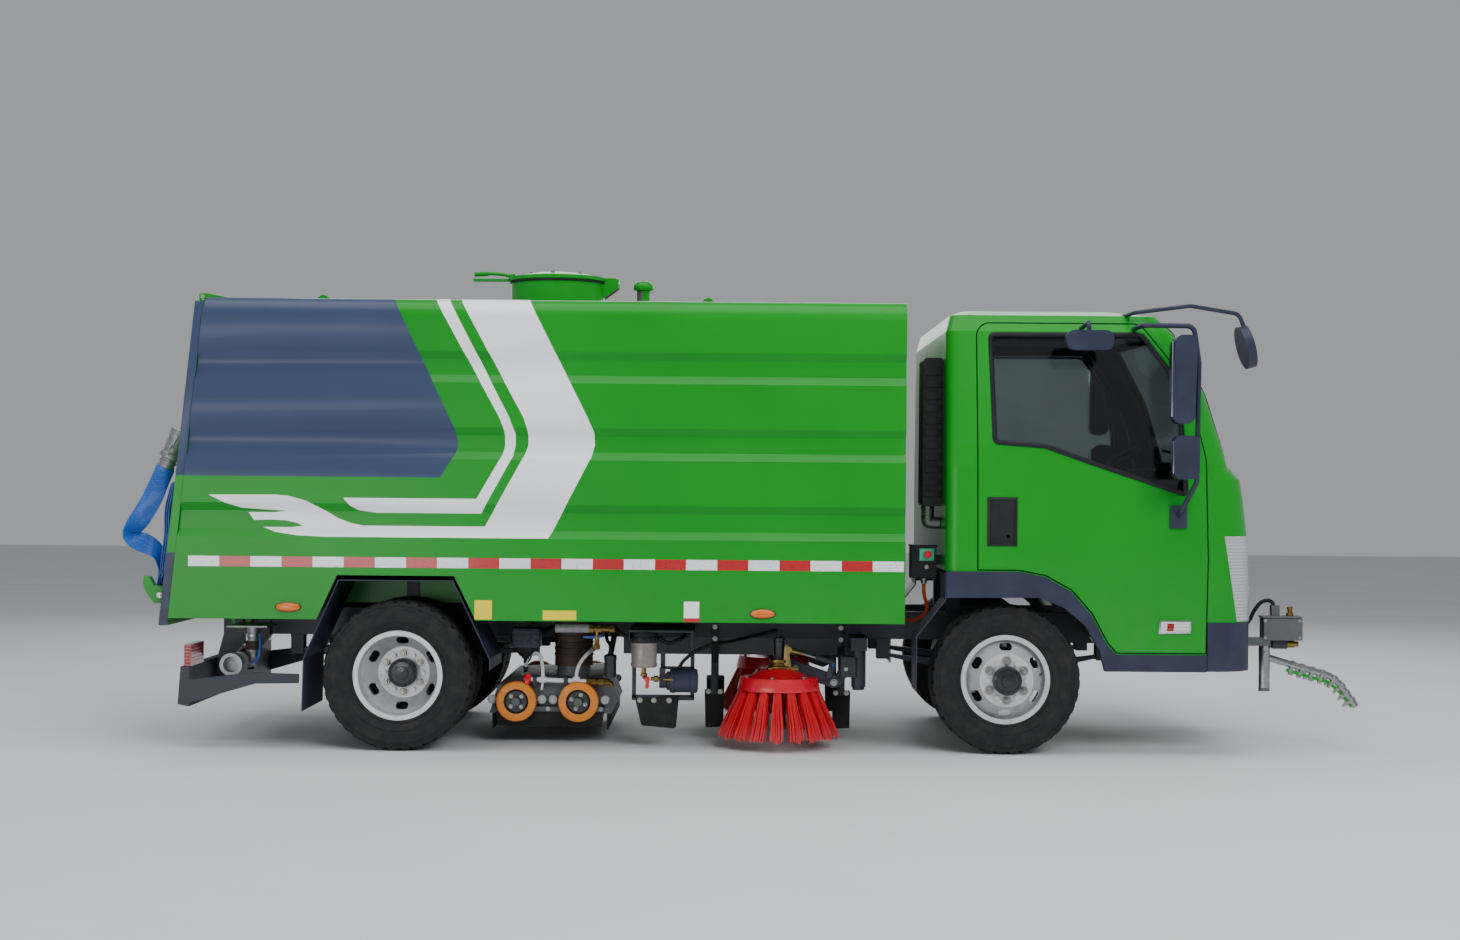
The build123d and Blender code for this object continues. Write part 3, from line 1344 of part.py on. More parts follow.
def brush_pivot_mount():
    """Outrigger from the frame rail with the swing pin."""
    x, y = BRUSH_PIVOT_X, BRUSH_PIVOT_Y
    arm = block(x - 40, x + 40, y - 45, -FRAME_HALF_WIDTH, 481, 545)
    arm += rod((x, y, 290), (x, y, 482), 16)
    arm += rod((x, y, 285), (x, y, 299.5), 30)
    return arm


ARM_PIN_X = BRUSH_PIVOT_X - 65
ARM_PIN_Z = 390


def brush_arm():
    """Arm with the brush motor at its end."""
    y = BRUSH_PIVOT_Y
    arm = rod((ARM_PIN_X, y - 29, ARM_PIN_Z), (ARM_PIN_X, y + 29, ARM_PIN_Z), 24)
    arm += bent_tube(
        [(ARM_PIN_X - 10, y, ARM_PIN_Z), (BRUSH_X + 150, y, ARM_PIN_Z + 40), (BRUSH_X + 20, BRUSH_Y, ARM_PIN_Z + 40)],
        60,
        24,
    )
    arm += rod((BRUSH_X, BRUSH_Y, ARM_PIN_Z + 2), (BRUSH_X, BRUSH_Y, ARM_PIN_Z + 65), 55)
    arm += rod((BRUSH_X, BRUSH_Y, ARM_PIN_Z + 65), (BRUSH_X, BRUSH_Y, 556), 38)
    arm += rod((ARM_PIN_X, y - 50, ARM_PIN_Z), (ARM_PIN_X, y + 50, ARM_PIN_Z), 10)
    return arm


def brush():
    """Cone plate with leaning tufts round its rim."""
    profile = [
        (40, 391.5),
        (60, 391.5),
        (202, BRUSH_PLATE_Z + 33),
        (202, BRUSH_PLATE_Z),
        (150, BRUSH_PLATE_Z),
        (40, 370),
    ]
    cone = revolve(Plane.XZ * outline(profile), axis=Axis.Z)
    cone += Pos(0, 0, 380) * Cylinder(45, 23)
    for index in range(BRUSH_TUFTS):
        angle = 360 / BRUSH_TUFTS * index
        tuft = loft(
            [
                Plane(origin=(186, 0, BRUSH_PLATE_Z + 10), z_dir=(0.35, 0, -1)) * Rectangle(20, 34),
                Plane(origin=(BRUSH_TIP_RADIUS - 24, 0, BRUSH_TIP_Z + 10), z_dir=(0.35, 0, -1)) * Rectangle(44, 84),
            ]
        )
        cone += Rot(0, 0, angle) * tuft
    return Pos(BRUSH_X, BRUSH_Y, 0) * cone


NOZZLE_BACK = REAR_AXLE_X + 407
NOZZLE_FRONT = REAR_AXLE_X + 1016
NOZZLE_HALF_WIDTH = 560
NOZZLE_WHEEL_RADIUS = 100
NOZZLE_WHEEL_Y = 620
NOZZLE_AXLE_Z = 215
# columns: name, x of the axle
NOZZLE_AXLES = (("rear", REAR_AXLE_X + 547), ("front", REAR_AXLE_X + 856))


def suction_nozzle():
    """Open-bottomed suction box with its throat and axle lugs."""
    face = outline(
        [
            (NOZZLE_BACK, 150),
            (NOZZLE_BACK + 40, 290),
            (NOZZLE_FRONT - 60, 310),
            (NOZZLE_FRONT, 150),
        ]
    )
    inner = outline(
        [
            (NOZZLE_BACK + 12, 140),
            (NOZZLE_BACK + 50, 278),
            (NOZZLE_FRONT - 68, 298),
            (NOZZLE_FRONT - 12, 140),
        ]
    )
    box = side_prism(face, -NOZZLE_HALF_WIDTH, NOZZLE_HALF_WIDTH)
    box -= side_prism(inner, -NOZZLE_HALF_WIDTH + 12, NOZZLE_HALF_WIDTH - 12)
    box += rod((DUCT_X, DUCT_Y, 285), (DUCT_X, DUCT_Y, 500), THROAT_RADIUS)
    box -= rod((DUCT_X, DUCT_Y, 200), (DUCT_X, DUCT_Y, 510), THROAT_RADIUS - 6)
    for name, x in NOZZLE_AXLES:
        for side in (-1, 1):
            box += cross_disc(x, NOZZLE_AXLE_Z, *sorted((side * (NOZZLE_HALF_WIDTH - 6), side * 650)), 12)
            box += cross_disc(x, NOZZLE_AXLE_Z, *sorted((side * 648, side * 656)), 20)
    return box


def suction_duct():
    """Fixed duct from the nozzle's throat up to the hopper's floor, strapped to the frame."""
    duct = rod((DUCT_X, DUCT_Y, 385), (DUCT_X, DUCT_Y, HOPPER_FLOOR - FIT), DUCT_RADIUS + 6)
    duct += block(DUCT_X - 40, DUCT_X + 40, DUCT_Y + 60, -FRAME_HALF_WIDTH, 560, 620)
    duct -= rod((DUCT_X, DUCT_Y, 380), (DUCT_X, DUCT_Y, HOPPER_FLOOR), THROAT_RADIUS + 0.6)
    return duct


def nozzle_wheels(x):
    """Two road wheels on one through axle."""
    wheel = cross_disc(x, NOZZLE_AXLE_Z, -NOZZLE_WHEEL_Y - 25, -NOZZLE_WHEEL_Y + 25, NOZZLE_WHEEL_RADIUS)
    wheel -= cross_disc(x, NOZZLE_AXLE_Z, -NOZZLE_WHEEL_Y - 30, -NOZZLE_WHEEL_Y + 30, 12.1)
    return both_sides(wheel)


def battery_pack():
    half = FRAME_HALF_WIDTH - RAIL_WIDTH
    return block(FRONT_AXLE_X - 1888, FRONT_AXLE_X - 688, -half, half, 430, 640)


def drive_motor():
    start = MOTOR_MEMBER_X + 35
    return rod((start, 0, 560), (start + 400, 0, 560), 98)


def filter_unit():
    """Water filter bowl and spray pump under one plate on the frame's right side."""
    x = REAR_AXLE_X
    plate = block(x + 1112, x + 1432, -800, -FRAME_HALF_WIDTH - FIT, 575, 587)
    bowl = rod((x + 1191, -750, 575), (x + 1191, -750, 540), 62) + rod((x + 1191, -750, 545), (x + 1191, -750, 400), 52)
    pump = rod((x + 1312, -750, 365), (x + 1452, -750, 365), 60) + block(x + 1362, x + 1402, -770, -730, 400, 576)
    return plate + bowl + pump


GUARD_WIDTH = 240


def front_mudguard():
    """Guard behind the front wheel, from the arch band down."""
    top, low = CAB_BACK - FIT, CAB_BACK - 139.5
    sheet = 5
    outer = [(top, 880), (top, 752), (low, 574), (low, 310)]
    inner = [(low - sheet, 310), (low - sheet, 577), (top - sheet, 755), (top - sheet, 880)]
    return side_prism(outline(outer + inner), -CAB_HALF_WIDTH, -CAB_HALF_WIDTH + GUARD_WIDTH)


def cab_back_unit():
    """Air cleaner behind the cab with the bend that runs down from it."""
    front, deep = CAB_BACK - FIT, 99
    body = side_prism(rounded(box_corners(front - deep, front, 1204, 1936), 20), -720, -480)
    pipe_x = front - 59
    pipe = bent_tube([(pipe_x, -600, 1210), (pipe_x, -600, 1120), (front, -600, 1120)], 29, 28)
    return body + pipe


def switch_box():
    box = block(CAB_BACK - 153, CAB_BACK - 28, -720, -600, 848, 1010)
    return box + block(CAB_BACK - 34, CAB_BACK - FIT, -690, -630, 915, 965)


WASH_POST_X = BUMPER_FRONT + 90
WASH_Y = -560
WASH_POST_RADIUS = 16
WASH_SLEEVE_RADIUS = 28
# columns: distance ahead of the post, height
WASH_PIPE = ((10, 462), (119, 430), (328, 370), (377, 331), (459, 219))
WASH_PIPE_RADIUS = 17
WASH_NOZZLES = 6


def wash_bracket():
    """Bracket on the bumper with the upright post of the front spray arm and its turning box."""
    x, y = WASH_POST_X, WASH_Y
    base = block(x - 200, x + 20, y - 40, y + 40, 520, 560)
    base += block(x - 13, x + 179, y - 45, y + 45, 548, 657)
    base += block(x + 30, x + 70, y - 20, y + 20, 650, 722)
    base += rod((x, y, 300), (x, y, 525), WASH_POST_RADIUS)
    base += rod((x, y, 292), (x, y, 308), WASH_SLEEVE_RADIUS)
    nose = plan_prism(plan_section(CAB_BACK, BUMPER_FRONT + FIT, CAB_HALF_WIDTH + 6 + FIT, 200, 40), 400, 700)
    return base - nose


def wash_arm():
    """Sleeve on the post with the bent spray pipe and its nozzles."""
    x, y = WASH_POST_X, WASH_Y
    arm = rod((x, y, 308 + FIT), (x, y, 520 - FIT), WASH_SLEEVE_RADIUS)
    path = [(x + ahead, y, height) for ahead, height in WASH_PIPE]
    arm += bent_tube(path, 40, WASH_PIPE_RADIUS)
    arm -= rod((x, y, 290), (x, y, 540), WASH_POST_RADIUS + PIN_CLEARANCE)
    (start_x, _, start_z), (end_x, _, end_z) = path[1], path[2]
    for index in range(WASH_NOZZLES):
        share = (index + 0.3) / WASH_NOZZLES
        nozzle_x = start_x + (end_x - start_x) * share
        nozzle_z = start_z + (end_z - start_z) * share
        arm += rod((nozzle_x, y, nozzle_z - 10), (nozzle_x + 6, y, nozzle_z - 55), 9)
    return arm


def build_all():
    front_wheel()
    rear_wheels()
    knuckle()
    front_axle()
    rear_axle()
    frame()
    cab()
    main, kerb, ahead = mirrors()
    keep("mirrors_right", Compound(children=[*main.solids(), *kerb.solids()]))
    keep("front_mirror", ahead)
    hopper()
    keep("hatch_lid", hatch_lid())
    keep("tailgate", tailgate())
    keep("rear_mudguards", both_sides(mudguard()))
    keep("rear_bumper", rear_bumper())
    keep("tail_lamps", both_sides(tail_lamp()))
    keep("water_inlet", water_inlet())
    keep("hose_coupling", hose_coupling())
    keep("hose_hank", hose_hank())
    keep("suction_nozzle", suction_nozzle())
    for name, x in NOZZLE_AXLES:
        keep(f"nozzle_wheels_{name}", nozzle_wheels(x))
    # columns: node name, piece on the right
    pairs = (
        ("brush_bracket", brush_bracket()),
        ("brush_arm", brush_arm()),
        ("brush", brush()),
    )
    for name, piece in pairs:
        keep(f"{name}_right", piece)
        keep(f"{name}_left", left_of(piece))
    keep("mirrors_left", left_of(main))
    keep("suction_duct", suction_duct())
    keep("battery_pack", battery_pack())
    keep("drive_motor", drive_motor())
    keep("filter_unit", filter_unit())
    keep("brush_mounts", both_sides(brush_pivot_mount()))
    keep("front_mudguards", both_sides(front_mudguard()))
    keep("cab_back_unit", cab_back_unit())
    keep("switch_box", switch_box())
    keep("wash_bracket", wash_bracket())
    keep("wash_arm", wash_arm())
    hoist()


build_all()
os.makedirs("parts", exist_ok=True)
for name, shape in PARTS.items():
    export_step(shape, f"parts/{name}.step")
    print(name, len(shape.solids()), round(shape.volume / 1e6, 1), shape.bounding_box())
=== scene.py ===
"""A street sweeper truck: paint, films, rubber, brushes, hoses and fittings over the solid model."""

import math
import random

import bpy
from mathutils import Matrix, Vector


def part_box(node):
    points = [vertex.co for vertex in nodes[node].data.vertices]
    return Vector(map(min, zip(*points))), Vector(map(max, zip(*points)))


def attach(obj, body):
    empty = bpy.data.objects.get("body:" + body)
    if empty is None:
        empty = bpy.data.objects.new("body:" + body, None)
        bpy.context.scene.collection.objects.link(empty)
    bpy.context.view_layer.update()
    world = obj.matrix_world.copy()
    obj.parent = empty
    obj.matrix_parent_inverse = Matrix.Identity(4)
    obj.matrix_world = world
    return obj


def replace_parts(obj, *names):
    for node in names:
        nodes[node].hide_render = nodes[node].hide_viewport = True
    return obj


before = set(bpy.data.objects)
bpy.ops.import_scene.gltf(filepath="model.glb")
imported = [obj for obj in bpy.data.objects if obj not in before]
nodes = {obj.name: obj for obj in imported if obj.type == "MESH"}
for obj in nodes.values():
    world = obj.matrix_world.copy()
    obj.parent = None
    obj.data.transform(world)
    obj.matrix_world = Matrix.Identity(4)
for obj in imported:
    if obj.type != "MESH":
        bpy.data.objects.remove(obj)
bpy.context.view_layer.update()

REAR_AXLE_X = -1.686
FRONT_AXLE_X = REAR_AXLE_X + 2.95
AXLE_Z = 0.364

ORIGIN = (0, 0, 0)
AHEAD, LEFT, UP = (1, 0, 0), (0, 1, 0), (0, 0, 1)
SIDES = ((-1, "right"), (1, "left"))


# Camera, light and floor


def camera():
    """Stands 10 m off the truck's right side, at the height of the cab door handle."""
    data = bpy.data.cameras.new("camera")
    data.sensor_width = 36
    data.lens = 51.16
    data.shift_y = 0.0103
    data.clip_end = 100
    held = bpy.data.objects.new("camera", data)
    bpy.context.scene.collection.objects.link(held)
    level = Matrix.Rotation(math.radians(90), 4, "X")
    roll = Matrix.Rotation(0.0085, 4, "Z")
    held.matrix_world = Matrix.Translation((-0.0845, -10.95, 1.30)) @ level @ roll
    bpy.context.scene.camera = held


def soft_light(name, place, towards, width, height, power, mirrored=True):
    """An area light that is hidden behind glass, and in glossy paint too unless mirrored."""
    data = bpy.data.lights.new(name, "AREA")
    data.shape = "RECTANGLE"
    data.size = width
    data.size_y = height
    data.energy = power
    lamp = bpy.data.objects.new(name, data)
    lamp.visible_transmission = False
    lamp.visible_glossy = mirrored
    bpy.context.scene.collection.objects.link(lamp)
    lamp.location = place
    lamp.rotation_euler = (Vector(towards) - Vector(place)).to_track_quat("-Z", "Y").to_euler()


def studio():
    soft_light("light_overhead", (-0.5, -2.0, 7.0), (-0.2, 0, 1.0), 9, 5, 330)
    soft_light("light_front", (3.5, -8.5, 5.5), (0, 0, 1.2), 6, 3, 640, False)
    soft_light("light_low", (-4.5, -7.5, 0.9), (0, 0, 0.5), 5, 1.2, 90)
    soft_light("light_back", (0, 7.5, 4.5), (0, 0, 1.0), 8, 4, 260)
    soft_light("light_ends", (9, 1.5, 4), (0, 0, 1), 4, 4, 160, False)
    soft_light("light_rear", (-9, -1.5, 4), (0, 0, 1), 4, 4, 160, False)
    world = bpy.data.worlds.new("studio")
    bpy.context.scene.world = world
    world.use_nodes = True
    sky = next(n for n in world.node_tree.nodes if n.type == "BACKGROUND")
    sky.inputs["Color"].default_value = (0.86, 0.88, 0.92, 1)
    sky.inputs["Strength"].default_value = 0.42
    bpy.ops.mesh.primitive_plane_add(size=60, location=(0, 0, 0))
    floor = bpy.context.object
    floor.name = "studio_floor"
    floor.data.materials.append(pale_floor())


# Small tools for shapes


def deselect():
    if bpy.context.object and bpy.context.object.mode != "OBJECT":
        bpy.ops.object.mode_set(mode="OBJECT")
    for other in list(bpy.context.selected_objects):
        other.select_set(False)
    bpy.context.tool_settings.mesh_select_mode = (True, False, False)


def take(piece):
    """Makes the piece the only one that operators act on."""
    deselect()
    bpy.context.view_layer.objects.active = piece
    piece.select_set(True)


def pick(piece, test, kind="FACE"):
    """Selects the faces or points that pass the test and enters edit mode."""
    take(piece)
    bpy.context.tool_settings.mesh_select_mode = (kind == "VERT", False, kind == "FACE")
    mesh = piece.data
    for group in (mesh.vertices, mesh.edges, mesh.polygons):
        group.foreach_set("select", [False] * len(group))
    if kind == "FACE":
        for face in mesh.polygons:
            face.select = test(face)
    else:
        for point in mesh.vertices:
            point.select = test(point.co)
    bpy.ops.object.mode_set(mode="EDIT")


def edit_all():
    """Enters edit mode on the piece in hand with everything selected."""
    bpy.ops.object.mode_set(mode="EDIT")
    bpy.ops.mesh.select_all(action="SELECT")


def leave():
    bpy.ops.object.mode_set(mode="OBJECT")


def discard(*pieces):
    for piece in pieces:
        bpy.data.objects.remove(piece)


def link(piece):
    bpy.context.scene.collection.objects.link(piece)
    return piece


def join(pieces):
    """Makes one piece of several."""
    take(pieces[0])
    for other in pieces[1:]:
        other.select_set(True)
    bpy.ops.object.join()
    return bpy.context.object


def set_place(piece):
    take(piece)
    bpy.ops.object.transform_apply(location=True, rotation=True, scale=True)


def finish(made, name, material, body="chassis", slot=None, angle=35):
    """Joins, names, smooths up to the edge angle and paints what was made, and lets it ride on its body."""
    piece = join(made) if isinstance(made, list) else made
    set_place(piece)
    piece.name = name
    piece.data.name = name
    bpy.ops.object.shade_smooth_by_angle(angle=math.radians(angle))
    piece.data.materials.clear()
    piece.data.materials.append(material)
    slot = SLOTS.get(material) if slot is None else slot
    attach(piece, body)
    return piece


def apply_all(piece):
    take(piece)
    for modifier in list(piece.modifiers):
        bpy.ops.object.modifier_apply(modifier=modifier.name)


def merge_doubles():
    """In edit mode: joins points that lie in one place."""
    bpy.ops.mesh.remove_doubles(threshold=0.00005)


def tidy_mesh(piece):
    take(piece)
    edit_all()
    merge_doubles()
    bpy.ops.mesh.normals_make_consistent(inside=False)
    leave()


# Small tools for materials


WAVE_TURN = 6.283  # the wave texture counts radians


def linear(hex_colour):
    """An sRGB hex colour as linear values."""
    channels = [int(hex_colour[i : i + 2], 16) / 255 for i in (1, 3, 5)]
    return tuple(c / 12.92 if c <= 0.04045 else ((c + 0.055) / 1.055) ** 2.4 for c in channels) + (1.0,)


def per_metre(millimetres):
    return 1000.0 / millimetres


class Surface:
    """A material in the making: its nodes, its shader, and the place on the object that its patterns read."""

    def __init__(self, name, **values):
        self.material = bpy.data.materials.new(name)
        self.material.use_nodes = True
        self.tree = self.material.node_tree
        self.tree.nodes.clear()
        sockets = {key.replace("_", " "): value for key, value in values.items()}
        self.shader = self.add("BsdfPrincipled", sockets)
        self.add("OutputMaterial", links={"Surface": self.shader.outputs["BSDF"]})
        self.place = self.add("TexCoord").outputs["Object"]

    def add(self, kind, values=None, links=None, **settings):
        """Adds one node, with its settings, socket values and links."""
        made = self.tree.nodes.new("ShaderNode" + kind)
        for name, value in settings.items():
            setattr(made, name, value)
        for socket, value in (values or {}).items():
            made.inputs[socket].default_value = value
        for socket, source in (links or {}).items():
            self.tree.links.new(source, made.inputs[socket])
        return made

    def feed(self, source, *sockets):
        for socket in sockets:
            self.tree.links.new(source, self.shader.inputs[socket])

    def noise(self, size, detail, roughness=0.5):
        """Cloudy noise, its largest clouds the given size in millimetres."""
        values = {"Scale": per_metre(size), "Detail": detail, "Roughness": roughness}
        return self.add("TexNoise", values, {"Vector": self.place}).outputs["Fac"]

    def cells(self, size, output="Distance", feature="F1"):
        """Packed cells of the given size in millimetres."""
        made = self.add("TexVoronoi", {"Scale": per_metre(size)}, {"Vector": self.place}, feature=feature)
        return made.outputs[output]

    def ribs(self, size, direction):
        """Even ribs, the given distance apart in millimetres."""
        values = {"Scale": per_metre(size) / WAVE_TURN}
        return self.add("TexWave", values, {"Vector": self.place}, bands_direction=direction).outputs["Fac"]

    def parts(self, vector):
        return self.add("SeparateXYZ", links={"Vector": vector}).outputs

    def ranged(self, source, low, high, to_low, to_high):
        values = {"From Min": low, "From Max": high, "To Min": to_low, "To Max": to_high}
        return self.add("MapRange", values, {"Value": source}).outputs["Result"]

    def product(self, first, second):
        return self.add("Math", links={0: first, 1: second}, operation="MULTIPLY").outputs[0]

    def tones(self, factor, first, second):
        """A colour between two hex colours, by the factor."""
        values = {6: linear(first), 7: linear(second)}
        return self.add("Mix", values, {0: factor}, data_type="RGBA").outputs[2]

    def over(self, below, factor, hex_colour):
        """The colour below, with the hex colour laid over it by the factor."""
        return self.add("Mix", {7: linear(hex_colour)}, {0: factor, 6: below}, data_type="RGBA").outputs[2]

    def colour(self, factor, first, second):
        self.feed(self.tones(factor, first, second), "Base Color")

    def gloss(self, *span):
        self.feed(self.ranged(*span), "Roughness")

    def emboss(self, height, distance, strength):
        bump = self.add("Bump", {"Distance": distance, "Strength": strength}, {"Height": height})
        self.feed(bump.outputs["Normal"], "Normal")

    def road_film(self, low, high, amount):
        """How much road dust lies on the paint: most at the sills, in clouds a hand wide."""
        falling = self.ranged(self.parts(self.place)["Z"], low, high, amount, 0.0)
        return self.product(falling, self.ranged(self.noise(90, 5.0, 0.65), 0.35, 0.75, 0.25, 1.0))

    def facing_room(self, middle):
        """Full where a face looks towards the room's middle. The normal is turned with the object."""
        world_normal = self.add("NewGeometry").outputs["Normal"]
        spaces = {"vector_type": "NORMAL", "convert_from": "WORLD", "convert_to": "OBJECT"}
        facing = self.add("VectorTransform", links={"Vector": world_normal}, **spaces).outputs["Vector"]
        away = self.add("VectorMath", {1: middle}, {0: self.place}, operation="SUBTRACT").outputs["Vector"]
        inward = self.add("VectorMath", links={0: away, 1: facing}, operation="DOT_PRODUCT").outputs["Value"]
        return self.ranged(inward, 0.0, -0.02, 0.0, 1.0)


# Materials


def pale_floor():
    """Painted studio floor, rolled matt: an even pale grey."""
    floor = Surface("studio_floor_paint", Roughness=0.75)
    floor.colour(floor.noise(900, 3.0), "#C9CBCE", "#D4D6D8")
    return floor.material


def coach_enamel(name, deep, light, room=None, lining="#6F7175"):
    """Two-pack enamel sprayed over pressed steel: deep colour, wet gloss, faint orange peel, dusty sills.

    With a room's middle given, the faces that look into the room are lined in the other colour.
    """
    enamel = Surface(name, Roughness=0.34, Coat_Weight=0.13, Coat_Roughness=0.2, Specular_IOR_Level=0.22)
    dust = enamel.road_film(0.42, 1.05, 0.10)
    dusty = enamel.over(enamel.tones(enamel.noise(650, 2.0), deep, light), dust, "#7E8078")
    if room:
        dusty = enamel.over(dusty, enamel.facing_room(room), lining)
    enamel.feed(dusty, "Base Color")
    enamel.gloss(dust, 0.0, 0.3, 0.32, 0.6)
    peel, ripple = enamel.noise(7, 2.0), enamel.noise(240, 1.0)
    wave = enamel.add("Bump", {"Distance": 0.0012, "Strength": 0.35}, {"Height": ripple})
    bump = enamel.add(
        "Bump", {"Distance": 0.0001, "Strength": 0.3}, {"Height": peel, "Normal": wave.outputs["Normal"]}
    )
    enamel.feed(bump.outputs["Normal"], "Normal", "Coat Normal")
    return enamel.material


def vinyl_film(name, colour, shade):
    """Calendered vinyl, cut and laid wet on the paint: even, half gloss, with a faint grain."""
    vinyl = Surface(name, Roughness=0.38, Coat_Weight=0.25, Coat_Roughness=0.2)
    vinyl.colour(vinyl.noise(260, 4.0), shade, colour)
    vinyl.emboss(vinyl.noise(3, 2.0), 0.0001, 0.4)
    return vinyl.material


def prism_tape(name, colour, shade):
    """Retroreflective tape, embossed in sealed cells; the cells are drawn 9 mm wide so that they show."""
    tape = Surface(name, Roughness=0.3, Coat_Weight=0.6, Coat_Roughness=0.12)
    web = tape.ranged(tape.cells(9, feature="DISTANCE_TO_EDGE"), 0.02, 0.08, 0.0, 1.0)
    tape.colour(web, shade, colour)
    tape.emboss(web, 0.0002, 0.5)
    return tape.material


def moulded_rubber(name, colour="#1B1C1E", worn="#34332F", rough=0.72):
    """Vulcanised rubber: soot black, dull, greying where dust sits in its pores."""
    rubber = Surface(name, Roughness=rough, Specular_IOR_Level=0.35)
    rubber.colour(rubber.ranged(rubber.noise(55, 6.0, 0.7), 0.42, 0.8, 0.0, 0.8), colour, worn)
    rubber.emboss(rubber.noise(2.5, 3.0), 0.0003, 0.5)
    return rubber.material


def wheel_silver():
    """Stoved aluminium enamel on pressed steel wheels: fine metal flake, brake dust in scattered clouds."""
    silver = Surface("wheel_silver_enamel", Metallic=0.55, Roughness=0.42, Coat_Weight=0.3)
    silver.colour(silver.ranged(silver.noise(45, 5.0), 0.5, 0.85, 0.0, 0.5), "#CFD1D4", "#8E8C86")
    silver.gloss(silver.cells(1.6, "Color"), 0.0, 1.0, 0.34, 0.5)
    return silver.material


def chassis_black(name="chassis_black_paint", colour="#232731", dusty="#454850", gloss=0.42):
    """Dipped black chassis paint: satin, with grey road dust on every upper face."""
    black = Surface(name, Roughness=gloss)
    lying = black.ranged(black.parts(black.add("NewGeometry").outputs["Normal"])["Z"], -0.2, 1.0, 0.12, 0.75)
    dust = black.product(lying, black.ranged(black.noise(70, 6.0, 0.7), 0.4, 0.75, 0.1, 1.0))
    black.colour(dust, colour, dusty)
    black.gloss(dust, 0.0, 0.7, gloss, 0.85)
    black.emboss(black.noise(4, 3.0), 0.0003, 0.35)
    return black.material


def grained_plastic(name, colour, worn, rough=0.55, grain=2.2):
    """Injection-moulded plastic with a leather-grain tool finish: dull, paler in broad clouds."""
    plastic = Surface(name, Roughness=rough)
    plastic.colour(plastic.ranged(plastic.noise(120, 5.0), 0.4, 0.8, 0.0, 0.7), colour, worn)
    plastic.emboss(plastic.cells(grain, feature="SMOOTH_F1"), 0.0004, 0.3)
    return plastic.material


def machined_metal(name, colour, shade, rough=0.3, lay=(4, 4, 400)):
    """Turned or ground metal: bright, with a fine lay of tool marks."""
    metal = Surface(name, Metallic=1.0, Roughness=rough)
    stretched = metal.add("Mapping", {"Scale": lay}, {"Vector": metal.place}).outputs["Vector"]
    marks = metal.add("TexNoise", {"Scale": 1.0, "Detail": 3.0}, {"Vector": stretched}).outputs["Fac"]
    metal.colour(metal.noise(35, 4.0), shade, colour)
    metal.gloss(marks, 0.2, 0.8, rough - 0.08, rough + 0.12)
    return metal.material


def cast_metal(name, colour, shade, rough=0.5):
    """Sand-cast metal left as it came from the mould: grey skin, coarse grit, half dull."""
    metal = Surface(name, Metallic=0.85, Roughness=rough)
    metal.colour(metal.noise(30, 6.0), shade, colour)
    metal.emboss(metal.noise(2.5, 4.0), 0.0005, 0.5)
    return metal.material


def window_glass():
    """Toughened float glass with a grey-green body tint: clear, mirror smooth, a trace of dust."""
    glass = Surface("tinted_window_glass", Roughness=0.02, IOR=1.45, Transmission_Weight=1.0)
    cloud = glass.noise(160, 4.0)
    glass.colour(cloud, "#9FABAC", "#ACB7B8")
    glass.gloss(cloud, 0.3, 0.8, 0.01, 0.06)
    return glass.material


def lens_plastic(name, colour, shade, rough=0.12, through=0.5):
    """Moulded acrylic lens with level prism ribs, drawn 8 mm apart so that they show."""
    lens = Surface(name, Roughness=rough, IOR=1.49, Transmission_Weight=through, Coat_Weight=0.6)
    ribs = lens.ribs(8, "Z")
    lens.colour(ribs, shade, colour)
    lens.emboss(ribs, 0.0006, 0.5)
    return lens.material


def cast_polyurethane():
    """Orange polyurethane cast on the wheel: smooth and waxy, scuffed where it rolls."""
    cast = Surface("orange_cast_polyurethane", Roughness=0.36, Subsurface_Weight=0.08)
    scuffed = cast.ranged(cast.noise(28, 6.0, 0.7), 0.48, 0.8, 0.0, 0.7)
    cast.colour(scuffed, "#D27A1E", "#7A4A20")
    cast.gloss(scuffed, 0.0, 0.7, 0.3, 0.6)
    return cast.material


def woven_seat_cloth():
    """Flat-woven polyester seat cloth over foam: charcoal, 4 mm rib so that the weave shows."""
    cloth = Surface("woven_seat_cloth", Roughness=0.9, Sheen_Weight=0.3)
    weave = cloth.product(cloth.ribs(4, "Z"), cloth.ribs(4, "Y"))
    cloth.colour(weave, "#24262A", "#3E4147")
    cloth.emboss(weave, 0.0006, 0.6)
    return cloth.material


def worn_red_paint():
    """Brushed red enamel on the broom plate, chipped to dull brown at the knocks."""
    red = Surface("worn_red_enamel", Roughness=0.4, Coat_Weight=0.2)
    chipped = red.ranged(red.noise(16, 7.0, 0.75), 0.62, 0.66, 0.0, 0.8)
    red.colour(chipped, "#B3201C", "#5A3A30")
    red.gloss(chipped, 0.0, 0.8, 0.36, 0.75)
    return red.material


def gloss_enamel(name, colour, shade):
    """Small parts dipped in gloss enamel: smooth, with a soft highlight."""
    enamel = Surface(name, Roughness=0.3, Coat_Weight=0.3)
    cloud = enamel.noise(25, 5.0)
    enamel.colour(cloud, shade, colour)
    enamel.gloss(cloud, 0.3, 0.8, 0.24, 0.5)
    return enamel.material


def drawn_bristle():
    """Extruded polypropylene bristle, scarlet and waxy, paler where it is scuffed at the tips."""
    bristles = Surface("scarlet_polypropylene_bristle", Roughness=0.45, Subsurface_Weight=0.05)
    streaks = bristles.noise(6, 3.0)
    low = bristles.ranged(bristles.parts(bristles.place)["Z"], 0.03, 0.14, 0.45, 0.0)
    red = bristles.tones(streaks, "#B00A16", "#E0192A")
    bristles.feed(bristles.over(red, bristles.product(low, streaks), "#E8808A"), "Base Color")
    return bristles.material


